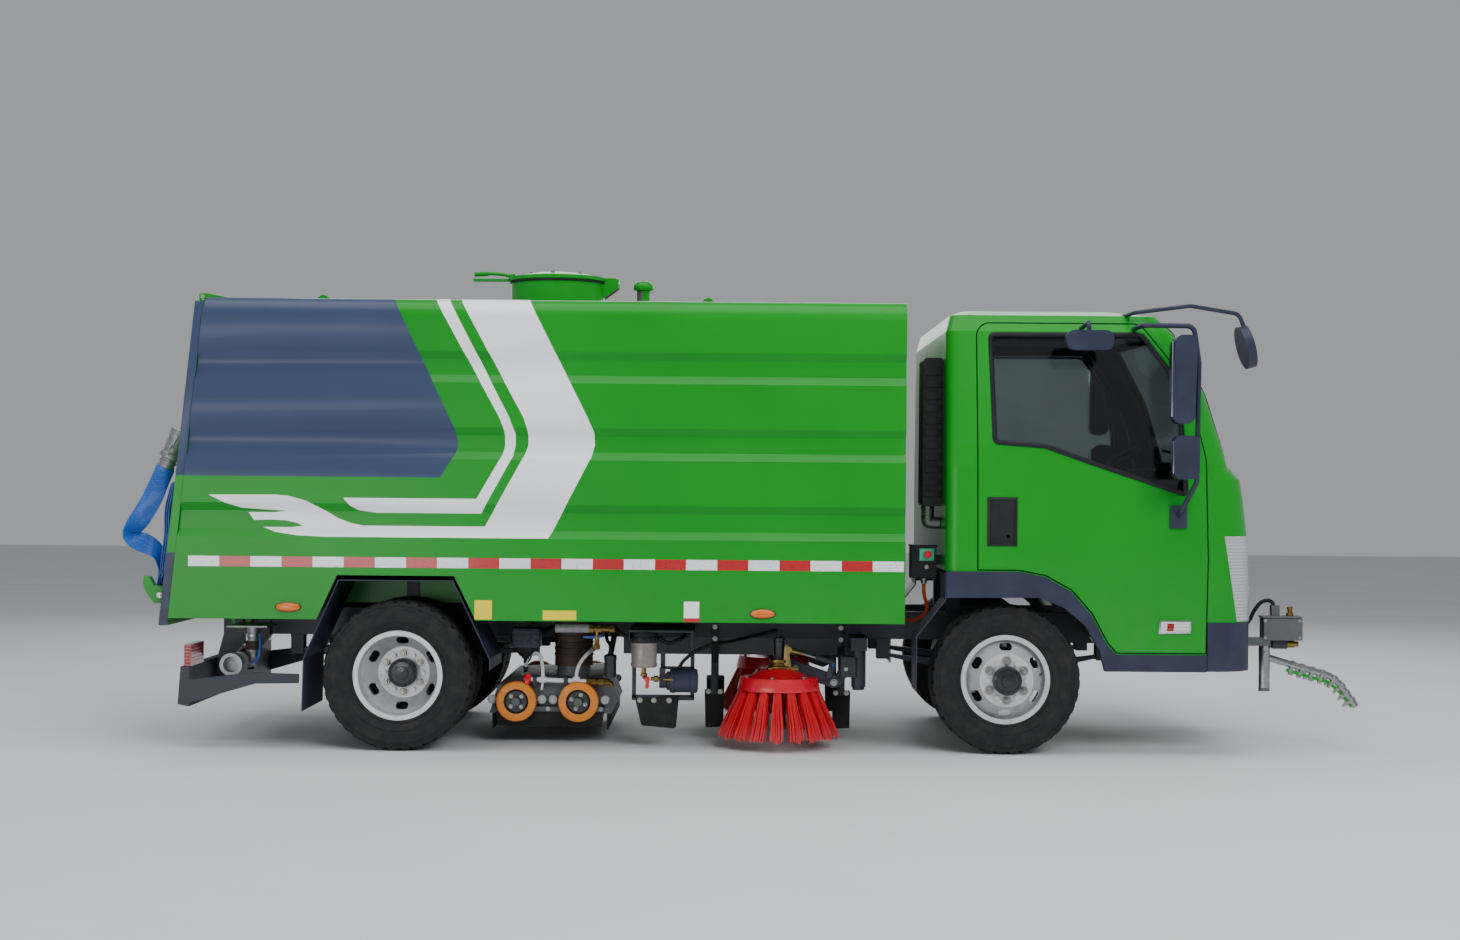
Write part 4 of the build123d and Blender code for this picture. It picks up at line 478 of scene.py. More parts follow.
def hose_canvas():
    """Lay-flat hose: polyurethane through a woven blue jacket, ribs drawn 5 mm apart so that they show."""
    canvas = Surface("blue_lay_flat_hose", Roughness=0.5, Coat_Weight=0.15)
    weave = canvas.product(canvas.ribs(5, "Y"), canvas.ribs(5, "Z"))
    rubbed = canvas.ranged(canvas.noise(60, 5.0), 0.5, 0.8, 0.0, 0.45)
    canvas.feed(canvas.over(canvas.tones(weave, "#0B4FA6", "#1D6BCB"), rubbed, "#5C86B4"), "Base Color")
    canvas.emboss(weave, 0.0006, 0.6)
    return canvas.material


GREENS = ("#007B17", "#008C20")
GREEN = coach_enamel("green_coach_enamel", *GREENS)
CAB_GREEN = coach_enamel("cab_enamel_with_grey_lining", *GREENS, room=(1.72, 0.0, 1.30))
BODY_GREEN = coach_enamel("body_enamel_with_primed_inside", *GREENS, room=(-1.0, 0.0, 1.45), lining="#55584F")
SLATE = coach_enamel("slate_coach_enamel", "#323D58", "#3C4966")
WHITE_FILM = vinyl_film("white_vinyl_film", "#F2F3F5", "#E4E6EA")
WHITE_TAPE = prism_tape("white_prism_tape", "#E6E8EB", "#B9BCC2")
RED_TAPE = prism_tape("red_prism_tape", "#B3141B", "#7C0D12")
TYRE = moulded_rubber("tyre_rubber")
RUBBER = moulded_rubber("sheet_rubber", "#161718", "#2B2A28", 0.66)
SILVER = wheel_silver()
CHASSIS = chassis_black()
BLACK = grained_plastic("black_grained_plastic", "#121315", "#1F2022")
GREY = grained_plastic("slate_grained_plastic", "#222639", "#30364D", 0.5, 3)
SEAL = moulded_rubber("black_seal_rubber", "#17181D", "#24252B", 0.55)
CHROME = machined_metal("chromed_trim", "#D7D9DC", "#AEB1B6", 0.14, (90, 90, 90))
MIRROR = machined_metal("silvered_mirror_glass", "#C9CED2", "#B4BABF", 0.06, (2, 2, 2))
AMBER = lens_plastic("amber_acrylic_lens", "#F07C00", "#C85C00", 0.15, 0.15)
WHITE_LENS = lens_plastic("white_acrylic_lens", "#EDEFF1", "#CDD2D6", 0.12, 0.3)
YELLOW_FILM = vinyl_film("yellow_vinyl_film", "#E6D200", "#D6C100")
RED_FILM = vinyl_film("red_vinyl_film", "#C4202C", "#A81822")
GREEN_PLASTIC = gloss_enamel("jade_moulded_plastic", "#2FBF94", "#249A77")
CANVAS = hose_canvas()
ORANGE_SLEEVE = moulded_rubber("orange_cable_sleeve", "#A8380F", "#7A3418", 0.6)
LINING = moulded_rubber("grey_felt_lining", "#8A8C90", "#76787C", 0.85)
GREY_SEAL = moulded_rubber("grey_edge_rubber", "#3C4150", "#4C5160", 0.65)
STEEL = machined_metal("ground_steel", "#B9BCC0", "#8F9297")
CAST = cast_metal("cast_aluminium", "#B4B6B8", "#7D7F82")
GLASS = window_glass()
CLEAR_LENS = lens_plastic("clear_acrylic_lens", "#E9EDF0", "#C4CBD2")
RED_LENS = lens_plastic("red_acrylic_lens", "#B5121B", "#7A0A10", 0.15, 0.25)
ORANGE = cast_polyurethane()
SEAT_CLOTH = woven_seat_cloth()
RED_PAINT = worn_red_paint()
ZINC = machined_metal("zinc_plated_steel", "#C3C3BE", "#96958E", 0.34, (90, 90, 90))
BRASS = machined_metal("machined_brass", "#A98A4E", "#7A6236", 0.36, (60, 60, 60))
BLACK_ENAMEL = gloss_enamel("black_gloss_enamel", "#101216", "#1B1E24")
RED_PLASTIC = gloss_enamel("scarlet_moulded_plastic", "#D3142A", "#B40E20")
RED_BRISTLE = drawn_bristle()
BLUE_PLASTIC = gloss_enamel("blue_moulded_plastic", "#1E62B4", "#174C8E")
WHITE_PLASTIC = gloss_enamel("white_hose_plastic", "#D9DADD", "#B9BABF")
PALE_PLASTIC = gloss_enamel("pale_grey_nylon", "#A7A6A8", "#7E7D80")
SMOKED_BOWL = gloss_enamel("smoked_filter_bowl_plastic", "#8A8280", "#6C6664")
YELLOW_ZINC = machined_metal("yellow_passivated_zinc", "#B5A06A", "#8C7A4C", 0.38, (60, 60, 60))
BROWN_RUBBER = moulded_rubber("brown_hose_rubber", "#3A2A22", "#4F3B30", 0.6)
GREY_PAINT = chassis_black("grey_machine_paint", "#4B4F54", "#77756E", 0.45)

# The record's slot that each material stands for, unless a piece says otherwise
SLOT_MATERIALS = {
    "steel": (ZINC, CHROME, STEEL, YELLOW_ZINC),
    "aluminium": (BRASS, CAST),
    "rubber": (RUBBER, SEAL, GREY_SEAL, BROWN_RUBBER, ORANGE_SLEEVE),
    "tyre": (TYRE,),
    "black_paint": (CHASSIS,),
    "grey_paint": (GREY_PAINT,),
    "green_paint": (GREEN,),
    "slate_paint": (SLATE,),
    "red_paint": (RED_PLASTIC, RED_BRISTLE),
    "black_plastic": (BLACK, BLACK_ENAMEL),
    "grey_plastic": (GREY, LINING, PALE_PLASTIC, WHITE_PLASTIC, BLUE_PLASTIC, GREEN_PLASTIC, SMOKED_BOWL),
    "orange_wheel": (ORANGE,),
    "glass": (MIRROR,),
    "lamp_clear": (WHITE_LENS, AMBER),
    "lamp_red": (RED_LENS,),
    "seat_fabric": (SEAT_CLOTH,),
    "hose_canvas": (CANVAS,),
}
SLOTS = {material: slot for slot, materials in SLOT_MATERIALS.items() for material in materials}

DRESS = {
    GREEN: "hatch_lid tailgate",
    CAB_GREEN: "cab_shell door_right door_left",
    BODY_GREEN: "hopper_shell",
    GREY: "arch_flares rear_mudguards front_mudguards front_bumper mirrors_right mirrors_left front_mirror",
    BLACK: "front_grille dashboard steering_wheel cab_back_unit switch_box",
    GLASS: "cab_glass door_glass_right door_glass_left",
    CLEAR_LENS: "headlamps",
    RED_LENS: "tail_lamps",
    SEAT_CLOTH: "seats",
    CHASSIS: "frame front_axle rear_axle rear_bumper hoist_barrel knuckle_right knuckle_left "
    "brush_bracket_right brush_bracket_left brush_arm_right brush_arm_left brush_mounts",
    GREY_PAINT: "battery_pack filter_unit wash_bracket suction_nozzle",
    CAST: "drive_motor water_inlet hose_coupling",
    RUBBER: "hose_hank",
    BROWN_RUBBER: "suction_duct",
    STEEL: "wash_arm hoist_rod",
    ORANGE: "nozzle_wheels_rear nozzle_wheels_front",
    TYRE: "front_tyre_right front_tyre_left rear_tyres_right rear_tyres_left",
    SILVER: "front_rim_right front_rim_left rear_rims_right rear_rims_left",
    RED_PAINT: "brush_right brush_left",
}


def dress_nodes():
    for material, names in DRESS.items():
        for name in names.split():
            solid = nodes[name]
            solid.data.materials.clear()
            solid.data.materials.append(material)
            take(solid)
            bpy.ops.object.shade_smooth_by_angle(angle=math.radians(32))


# Shapes


def standing(direction):
    """The turn that brings the Z axis to the direction."""
    return Vector(direction).to_track_quat("Z", "Y").to_matrix().to_4x4()


def settle(piece, centre, along):
    """Stands a piece, drawn along Z at the origin, at its centre and along its axis."""
    piece.matrix_world = Matrix.Translation(centre) @ standing(along) @ piece.matrix_world
    set_place(piece)
    return piece


def turned(profile, centre=ORIGIN, along=UP, steps=48, solid=True):
    """A body of revolution: each ring (radius, distance along) is drawn out of the one before."""
    deselect()
    radius, at = profile[0]
    fill = "NGON" if solid else "NOTHING"
    bpy.ops.mesh.primitive_circle_add(vertices=steps, radius=radius, location=(0, 0, at), fill_type=fill)
    piece = bpy.context.object
    edit_all()
    for next_radius, next_at in profile[1:]:
        bpy.ops.mesh.extrude_region_move(TRANSFORM_OT_translate={"value": (0, 0, next_at - at)})
        grow = next_radius / radius
        if abs(grow - 1) > 1e-6:
            bpy.ops.transform.resize(value=(grow, grow, 1), center_override=(0, 0, next_at))
        radius, at = next_radius, next_at
    leave()
    tidy_mesh(piece)
    return settle(piece, centre, along)


def band(inner, outer, half, edge, centre, along=UP, steps=48):
    """A collar: its outer face reaches the edge either way, its bevelled ends the half width."""
    return turned([(inner, -half), (outer, -edge), (outer, edge), (inner, half)], centre, along, steps)


def slab(ring, axis, low, high, bevel=0.0, segments=2):
    """A plate of the given outline, extruded along one axis, its sharp edges rounded."""
    deselect()
    bpy.ops.mesh.primitive_circle_add(vertices=len(ring), radius=1, fill_type="NGON")
    piece = bpy.context.object
    number = "XYZ".index(axis)
    for point, pair in zip(piece.data.vertices, ring):
        point.co = (*pair[:number], low, *pair[number:])
    travel = [0, 0, 0]
    travel[number] = high - low
    edit_all()
    bpy.ops.mesh.extrude_region_move(TRANSFORM_OT_translate={"value": travel})
    bpy.ops.mesh.select_all(action="SELECT")
    bpy.ops.mesh.normals_make_consistent(inside=False)
    if bevel:
        round_edges(bevel, segments)
    leave()
    return piece


def round_edges(width, segments):
    """In edit mode: rounds every edge sharper than 25 degrees."""
    bpy.ops.mesh.select_all(action="DESELECT")
    bpy.ops.mesh.select_mode(type="EDGE")
    bpy.ops.mesh.edges_select_sharp(sharpness=math.radians(25))
    bpy.ops.mesh.bevel(offset=width, segments=segments, affect="EDGES", clamp_overlap=True)


def block(one, other, bevel=0.002, segments=2):
    """A plain-sided body between two corners, its edges rounded."""
    deselect()
    middle = [(a + b) / 2 for a, b in zip(one, other)]
    bpy.ops.mesh.primitive_cube_add(size=1, location=middle, scale=[abs(b - a) for a, b in zip(one, other)])
    piece = bpy.context.object
    set_place(piece)
    edit_all()
    round_edges(bevel, segments)
    leave()
    return piece


def soft_corners(points, bend, count=5):
    """The path with each corner turned into a short arc."""
    points = [Vector(point) for point in points]
    path = [points[0]]
    for before, corner, after in zip(points, points[1:], points[2:]):
        reach = min(bend, (before - corner).length * 0.49, (after - corner).length * 0.49)
        start = corner + (before - corner).normalized() * reach
        end = corner + (after - corner).normalized() * reach
        for step in range(count + 1):
            t = step / count
            path.append(start * (1 - t) ** 2 + corner * 2 * t * (1 - t) + end * t**2)
    return path + [points[-1]]


def tube(points, radius, sides=10, bend=0.0, smooth=False):
    """A pipe along the points, or on one smooth curve through them."""
    deselect()
    data = bpy.data.curves.new("tube", "CURVE")
    data.dimensions = "3D"
    data.bevel_depth = radius
    data.bevel_resolution = max(0, (sides - 4) // 2)
    data.use_fill_caps = True
    data.resolution_u = 8
    if bend:
        points = soft_corners(points, bend)
    spline = data.splines.new("BEZIER" if smooth else "POLY")
    knots = spline.bezier_points if smooth else spline.points
    knots.add(len(points) - 1)
    for knot, place in zip(knots, points):
        knot.co = place if smooth else (*place, 1)
        if smooth:
            knot.handle_left_type = knot.handle_right_type = "AUTO"
    take(link(bpy.data.objects.new("tube", data)))
    bpy.ops.object.convert(target="MESH")
    piece = bpy.context.object
    tidy_mesh(piece)
    return piece


def hose(points, radius, sides=12):
    return tube(points, radius, sides, smooth=True)


def again(piece, matrix):
    """A copy of the piece with its own mesh, moved by the matrix."""
    copy = piece.copy()
    copy.data = piece.data.copy()
    copy.data.transform(matrix)
    return link(copy)


def spun(degrees, axis):
    return Matrix.Rotation(math.radians(degrees), 4, axis)


def bolt_head(across, height):
    """A hexagon head on its washer, standing at the origin."""
    washer = [(across * 0.78, 0), (across * 0.78, height * 0.25), (across * 0.5, height * 0.25)]
    head = [(across * 0.577, height * 0.2), (across * 0.577, height * 0.85), (across * 0.48, height)]
    return join([turned(washer, steps=20), turned(head, steps=6)])


def bolts(places, along, across, height):
    """Equal bolts, modelled once and copied to their places."""
    first = bolt_head(across, height)
    turn = standing(along)
    copies = [again(first, Matrix.Translation(place) @ turn) for place in places]
    discard(first)
    return join(copies)


def ring_places(centre, radius, start=0.0):
    """Six places round a circle that faces sideways, at the centre (x, y, z)."""
    x, y, z = centre
    turns = [math.radians(start + 60 * n) for n in range(6)]
    return [(x + radius * math.cos(a), y, z + radius * math.sin(a)) for a in turns]


# Wheels

TYRE_PROFILE = [
    (0.2035, -0.078), (0.214, -0.083), (0.222, -0.0855), (0.2245, -0.091), (0.229, -0.0915),
    (0.231, -0.0885), (0.246, -0.0965), (0.262, -0.1025), (0.264, -0.1045), (0.268, -0.1045),
    (0.270, -0.103), (0.288, -0.1062), (0.304, -0.1068), (0.318, -0.1058), (0.3195, -0.1072),
    (0.3235, -0.107), (0.325, -0.1045), (0.337, -0.102), (0.3385, -0.1045), (0.350, -0.1025),
    (0.358, -0.0965), (0.3625, -0.086), (0.3635, -0.062), (0.3525, -0.0605), (0.3525, -0.0525),
    (0.3638, -0.051), (0.364, -0.0245), (0.3525, -0.023), (0.3525, -0.0155), (0.364, -0.014),
]
TYRE_STEPS = 108
NUT_CIRCLE = 0.095


def tyre(y, x, side):
    """A truck tyre: bead, ribbed side wall, shoulder lugs and four tread grooves."""
    half = TYRE_PROFILE
    profile = half + [(radius, -at) for radius, at in reversed(half)] + [half[0]]
    piece = turned(profile, steps=TYRE_STEPS, solid=False)
    pitch = 2 * math.pi / TYRE_STEPS

    def lug_gap(face):
        r = math.hypot(face.center.x, face.center.y)
        turn = int(round(math.atan2(face.center.y, face.center.x) / pitch - 0.5)) % 3
        return turn == 0 and 0.352 < r and 0.062 < abs(face.center.z) < 0.103

    pick(piece, lug_gap)
    bpy.ops.mesh.inset(thickness=0.0012, depth=0.0)
    bpy.ops.transform.shrink_fatten(value=-0.008)
    leave()
    return settle(piece, (x, y, AXLE_Z), (0, side, 0))


def wheel_trim(x, y_face, side, high, name, body):
    """Wheel nuts with their studs, the black hub cap and the valve of one wheel."""
    out = (0, side, 0)
    centre = (x, side * y_face, AXLE_Z)
    places = ring_places(centre, NUT_CIRCLE, 30)
    nuts = bolts(places, out, 0.030, 0.020)
    studs = [turned([(0.0085, 0.0), (0.0085, 0.030), (0.0065, 0.033)], place, out, 14) for place in places]
    finish([nuts] + studs, "wheel_nuts_" + name, ZINC, body)
    shape = [
        (0.0695, 0.003), (0.0705, 0.008), (0.0705, high - 0.010),
        (0.0665, high - 0.002), (0.0560, high + 0.002),
        (0.0540, high - 0.002), (0.0330, high - 0.001), (0.0310, high + 0.005), (0.0040, high + 0.007),
    ]
    cap = turned(shape, centre, out, 40)
    ears = bolts(ring_places((x, side * (y_face + high), AXLE_Z), 0.0605), out, 0.008, 0.005)
    finish([cap, ears], "hub_cap_" + name, BLACK_ENAMEL, body)
    stem = ((0.168, -0.045, 0.03), (0.172, -0.012, 0.032), (0.160, 0.008, 0.026))
    points = [(x + along, side * (y_face + proud), AXLE_Z + up) for along, proud, up in stem]
    finish(tube(points, 0.0042, 10, 0.01), "tyre_valve_" + name, BRASS, body, "steel")


def wheels():
    for side, word in SIDES:
        front_body, rear_body = "front_wheel_" + word[0], "rear_wheels_" + word[0]
        made = tyre(side * 0.770, FRONT_AXLE_X, side)
        front = finish(made, "tyre_front_" + word, TYRE, front_body, angle=30)
        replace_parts(front, "front_tyre_" + word)
        twins = [tyre(side * y, REAR_AXLE_X, side) for y in (0.822, 0.572)]
        rear = finish(twins, "tyres_rear_" + word, TYRE, rear_body, angle=30)
        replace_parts(rear, "rear_tyres_" + word)
        wheel_trim(FRONT_AXLE_X, 0.895, side, 0.051, "front_" + word, front_body)
        wheel_trim(REAR_AXLE_X, 0.711, side, 0.066, "rear_" + word, rear_body)


# Gutter brushes

BRUSH_X = 0.166
BRUSH_Y = 0.640
BRISTLE_LENGTH = 0.262


def bristle(length):
    """One crimped bristle hanging from the origin."""
    knees = (0.35, 0.7)
    shape = [(0.0026, 0.0), (0.0026, -length * knees[0]), (0.0025, -length * knees[1]), (0.0020, -length)]
    piece = turned(shape, steps=5)
    for share, bend in zip(knees, ((0.0016, 0, 0), (-0.0014, 0.001, 0))):
        pick(piece, lambda point: abs(point.z + length * share) < 0.004, "VERT")
        bpy.ops.transform.translate(value=bend)
        leave()
    return piece


def tuft(seed):
    """A bundle of bristles that leans out and fans to an uneven tip."""
    chance = random.Random(seed)
    strand = bristle(BRISTLE_LENGTH)
    copies = []
    for row in range(5):
        for column in range(8):
            u = (column - 3.5) / 3.5
            v = (row - 2) / 2
            root = Vector((0.178 + 0.011 * v + chance.uniform(-0.002, 0.002), 0.015 * u, 0.302))
            tip = Vector((
                0.272 + 0.026 * v + chance.uniform(-0.006, 0.006),
                0.030 * u + chance.uniform(-0.004, 0.004),
                0.052 + chance.uniform(-0.010, 0.014) + 0.012 * abs(u),
            ))
            stretch = Matrix.Scale((root - tip).length / BRISTLE_LENGTH, 4, UP)
            copies.append(again(strand, Matrix.Translation(root) @ standing(root - tip) @ stretch))
    discard(strand)
    return join(copies)


def brushes():
    """Red cone brushes: dished plate with its rim, hub casting and eighteen tufts."""
    plate = turned([
        (0.045, 0.372), (0.062, 0.391), (0.110, 0.372), (0.150, 0.352), (0.176, 0.350), (0.1895, 0.352),
        (0.1915, 0.348), (0.206, 0.294), (0.205, 0.288), (0.150, 0.288), (0.120, 0.318), (0.060, 0.352),
        (0.045, 0.360),
    ], steps=72)
    turns = (0.3, 1.35, 2.4, 3.45, 4.5, 5.55)
    rim_bolts = bolts([(0.165 * math.cos(a), 0.165 * math.sin(a), 0.3505) for a in turns], UP, 0.015, 0.010)
    patterns = [tuft(4), tuft(9), tuft(15)]
    tufts = join([again(patterns[number % 3], spun(20 * number + 7, "Z")) for number in range(18)])
    hub = turned([
        (0.052, 0.386), (0.056, 0.392), (0.056, 0.402), (0.044, 0.406), (0.040, 0.420), (0.047, 0.424),
        (0.047, 0.436), (0.034, 0.440),
    ], steps=36)
    for side, word in SIDES:
        place = Matrix.Translation((BRUSH_X, BRUSH_Y * side, 0))
        head = "brush_head_" + word[0]
        red = finish(again(plate, place), "brush_plate_" + word, RED_PLASTIC, head)
        finish(again(tufts, place), "brush_tufts_" + word, RED_BRISTLE, head, angle=60)
        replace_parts(red, "brush_" + word)
        finish(again(rim_bolts, place), "brush_plate_bolts_" + word, ZINC, head)
        finish(again(hub, place), "brush_hub_" + word, BRASS, "brush_lift_" + word[0])
    discard(plate, rim_bolts, tufts, hub, *patterns)


def brush_arm(side, word):
    """One brush's arm: hinged beam, motor on its casting, plated bracket and lift cylinder."""
    body = "brush_lift_" + word[0]
    y = side * 0.600
    out = (0, side, 0)
    hinge = (0.499, y, 0.390)
    beam = slab(
        [(0.205, 0.372), (0.222, 0.437), (0.452, 0.357), (0.478, 0.410), (0.520, 0.410), (0.522, 0.372),
         (0.470, 0.305), (0.440, 0.292)],
        "Y", y - 0.026, y + 0.026, 0.005,
    )
    pick(beam, lambda face: abs(face.normal.y) > 0.9)
    bpy.ops.mesh.inset(thickness=0.012, depth=-0.006)
    leave()
    knuckle = band(0.020, 0.024, 0.028, 0.026, hinge, LEFT, 32)
    beam = finish([beam, knuckle], "brush_beam_" + word, CHASSIS, body)
    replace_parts(beam, "brush_arm_" + word)
    pin = turned([(0.010, -0.050), (0.0098, 0.050)], hinge, LEFT, 24)
    finish(pin, "brush_hinge_pin_" + word, ZINC, body)
    ends = bolts([(0.247, side * 0.626, 0.389), (0.440, side * 0.626, 0.322)], out, 0.022, 0.013)
    finish(ends, "brush_beam_bolts_" + word, ZINC, body)
    motor_y = side * BRUSH_Y
    shape = [
        (0.030, 0.405), (0.040, 0.408), (0.040, 0.428), (0.027, 0.432), (0.0255, 0.446), (0.0265, 0.448),
        (0.0265, 0.526), (0.0280, 0.528), (0.0280, 0.541), (0.0240, 0.546), (0.012, 0.548), (0.011, 0.556),
    ]
    motor = turned(shape, (BRUSH_X, motor_y, 0), UP, 40)
    finish(motor, "brush_motor_" + word, BLACK_ENAMEL, body, "black_paint")
    flange = slab(
        [(0.112, 0.400), (0.112, 0.385), (0.135, 0.368), (0.200, 0.368), (0.218, 0.385), (0.218, 0.404)],
        "Y", motor_y - 0.045, motor_y + 0.045, 0.006, 3,
    )
    finish(flange, "brush_motor_flange_" + word, BRASS, body)
    plate_y = side * 0.668
    bracket = slab(
        [(0.186, 0.375), (0.226, 0.375), (0.224, 0.420), (0.212, 0.500), (0.207, 0.512), (0.198, 0.512),
         (0.193, 0.500)],
        "Y", plate_y - 0.004, plate_y + 0.004, 0.0015,
    )
    foot = slab([(0.186, 0.370), (0.262, 0.386), (0.262, 0.398), (0.186, 0.404)], "Y", y, plate_y, 0.002)
    finish([bracket, foot], "brush_lift_bracket_" + word, YELLOW_ZINC, body)
    eye = side * 0.662

    def straight(start, end, radius, sides):
        """A bar from (x, z) to (x, z) in the plane of the cylinder's eye."""
        return tube([(x, eye, z) for x, z in (start, end)], radius, sides)

    clevis = tube([(0.214, eye, 0.484), (0.238, eye, 0.478), (0.286, eye, 0.466)], 0.0125, 16)
    fork = turned([(0.017, -0.012), (0.017, 0.012)], (0.212, eye, 0.485), LEFT, 24)
    finish([clevis, fork], "brush_cylinder_eye_" + word, YELLOW_ZINC, body)
    finish(straight((0.280, 0.4675), (0.440, 0.421), 0.0075, 16), "brush_cylinder_rod_" + word, STEEL, body)
    barrel = straight((0.352, 0.447), (0.4400, 0.4215), 0.0140, 20)
    ring = straight((0.348, 0.448), (0.360, 0.4447), 0.0165, 20)
    outline = [(0.398, 0.345), (0.425, 0.340), (0.452, 0.410), (0.440, 0.430), (0.420, 0.430)]
    stay = slab(outline, "Y", side * 0.626, side * 0.648, 0.003)
    finish([barrel, ring, stay], "brush_cylinder_" + word, CHASSIS, body)
    shape = [(0.010, 0), (0.010, 0.012), (0.0075, 0.013), (0.0075, 0.022)]
    port = turned(shape, (0.430, eye, 0.425), (0.2, side * 0.4, -1), 6)
    finish(port, "brush_cylinder_port_" + word, BLUE_PLASTIC, body)


def brush_guards(side, word):
    """Two rubber sheets that hang from the frame rail beside the brush."""
    sheets, straps, heads = [], [], []
    for low, high, y in ((-0.205, -0.105, side * 0.385), (0.441, 0.536, side * 0.405)):
        outline = [(low, 0.255), (high, 0.255), (high - 0.004, 0.070), (low + 0.006, 0.066)]
        sheets.append(slab(outline, "Y", y - 0.004, y + 0.004, 0.0015))
        middle = (low + high) / 2
        straps.append(block((low + 0.004, y - 0.010, 0.236), (high - 0.004, y - 0.004, 0.262), 0.001))
        far, near, rail = y + side * 0.012, y + side * 0.005, side * 0.357
        bent = [
            (side * 0.350, 0.600), (rail, 0.600), (rail, 0.480), (far, 0.395), (far, 0.240), (near, 0.240),
            (near, 0.392), (side * 0.350, 0.474),
        ]
        straps.append(slab(bent, "X", middle - 0.018, middle + 0.018, 0.001))
        heads += [(x, y + side * 0.010, 0.249) for x in (low + 0.020, high - 0.020)]
        heads += [(middle, rail, z) for z in (0.575, 0.515)]
    finish(sheets, "brush_guard_sheets_" + word, RUBBER)
    finish(straps, "brush_guard_straps_" + word, CHASSIS)
    finish(bolts(heads, (0, side, 0), 0.016, 0.010), "brush_guard_bolts_" + word, ZINC)


# Suction nozzle and its water gear

ROLLER_Y = 0.560
SPRAY_Y = -0.604
PIPE_Z = 0.3135


def castor_wheels():
    """Orange wheels on black hubs with four bolts, in pairs on through axles."""
    rim = turned([
        (0.062, -0.024), (0.090, -0.025), (0.097, -0.022), (0.100, -0.016), (0.100, 0.016), (0.097, 0.022),
        (0.090, 0.025), (0.062, 0.024), (0.060, 0.018), (0.060, -0.018), (0.062, -0.024),
    ], ORIGIN, LEFT, 64, solid=False)
    hub = turned([
        (0.012, -0.024), (0.022, -0.024), (0.024, -0.012), (0.052, -0.012), (0.060, -0.020), (0.061, 0.020),
        (0.052, 0.012), (0.024, 0.012), (0.022, 0.026), (0.012, 0.027),
    ], ORIGIN, LEFT, 48)
    places = [(0.036 * math.cos(a), 0.011, 0.036 * math.sin(a)) for a in (0.6, 2.17, 3.74, 5.31)]
    heads = bolts(places, LEFT, 0.013, 0.009)
    for word, x, turn in (("rear", -1.139, 12), ("front", -0.830, -14)):
        stands = []
        for side in (-1, 1):
            place = Matrix.Translation((x, side * 0.620, 0.215)) @ spun(turn, "Y")
            stands.append(place @ Matrix.Rotation(math.pi, 4, "Z") if side < 0 else place)
        looks = ((rim, "rims", ORANGE), (hub, "hubs", BLACK_ENAMEL), (heads, "bolts", ZINC))
        for pattern, name, material in looks:
            pair = [again(pattern, place) for place in stands]
            made = finish(pair, f"castor_{name}_{word}", material, f"nozzle_{word}_wheels")
            if pattern is rim:
                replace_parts(made, "nozzle_wheels_" + word)
    discard(rim, hub, heads)


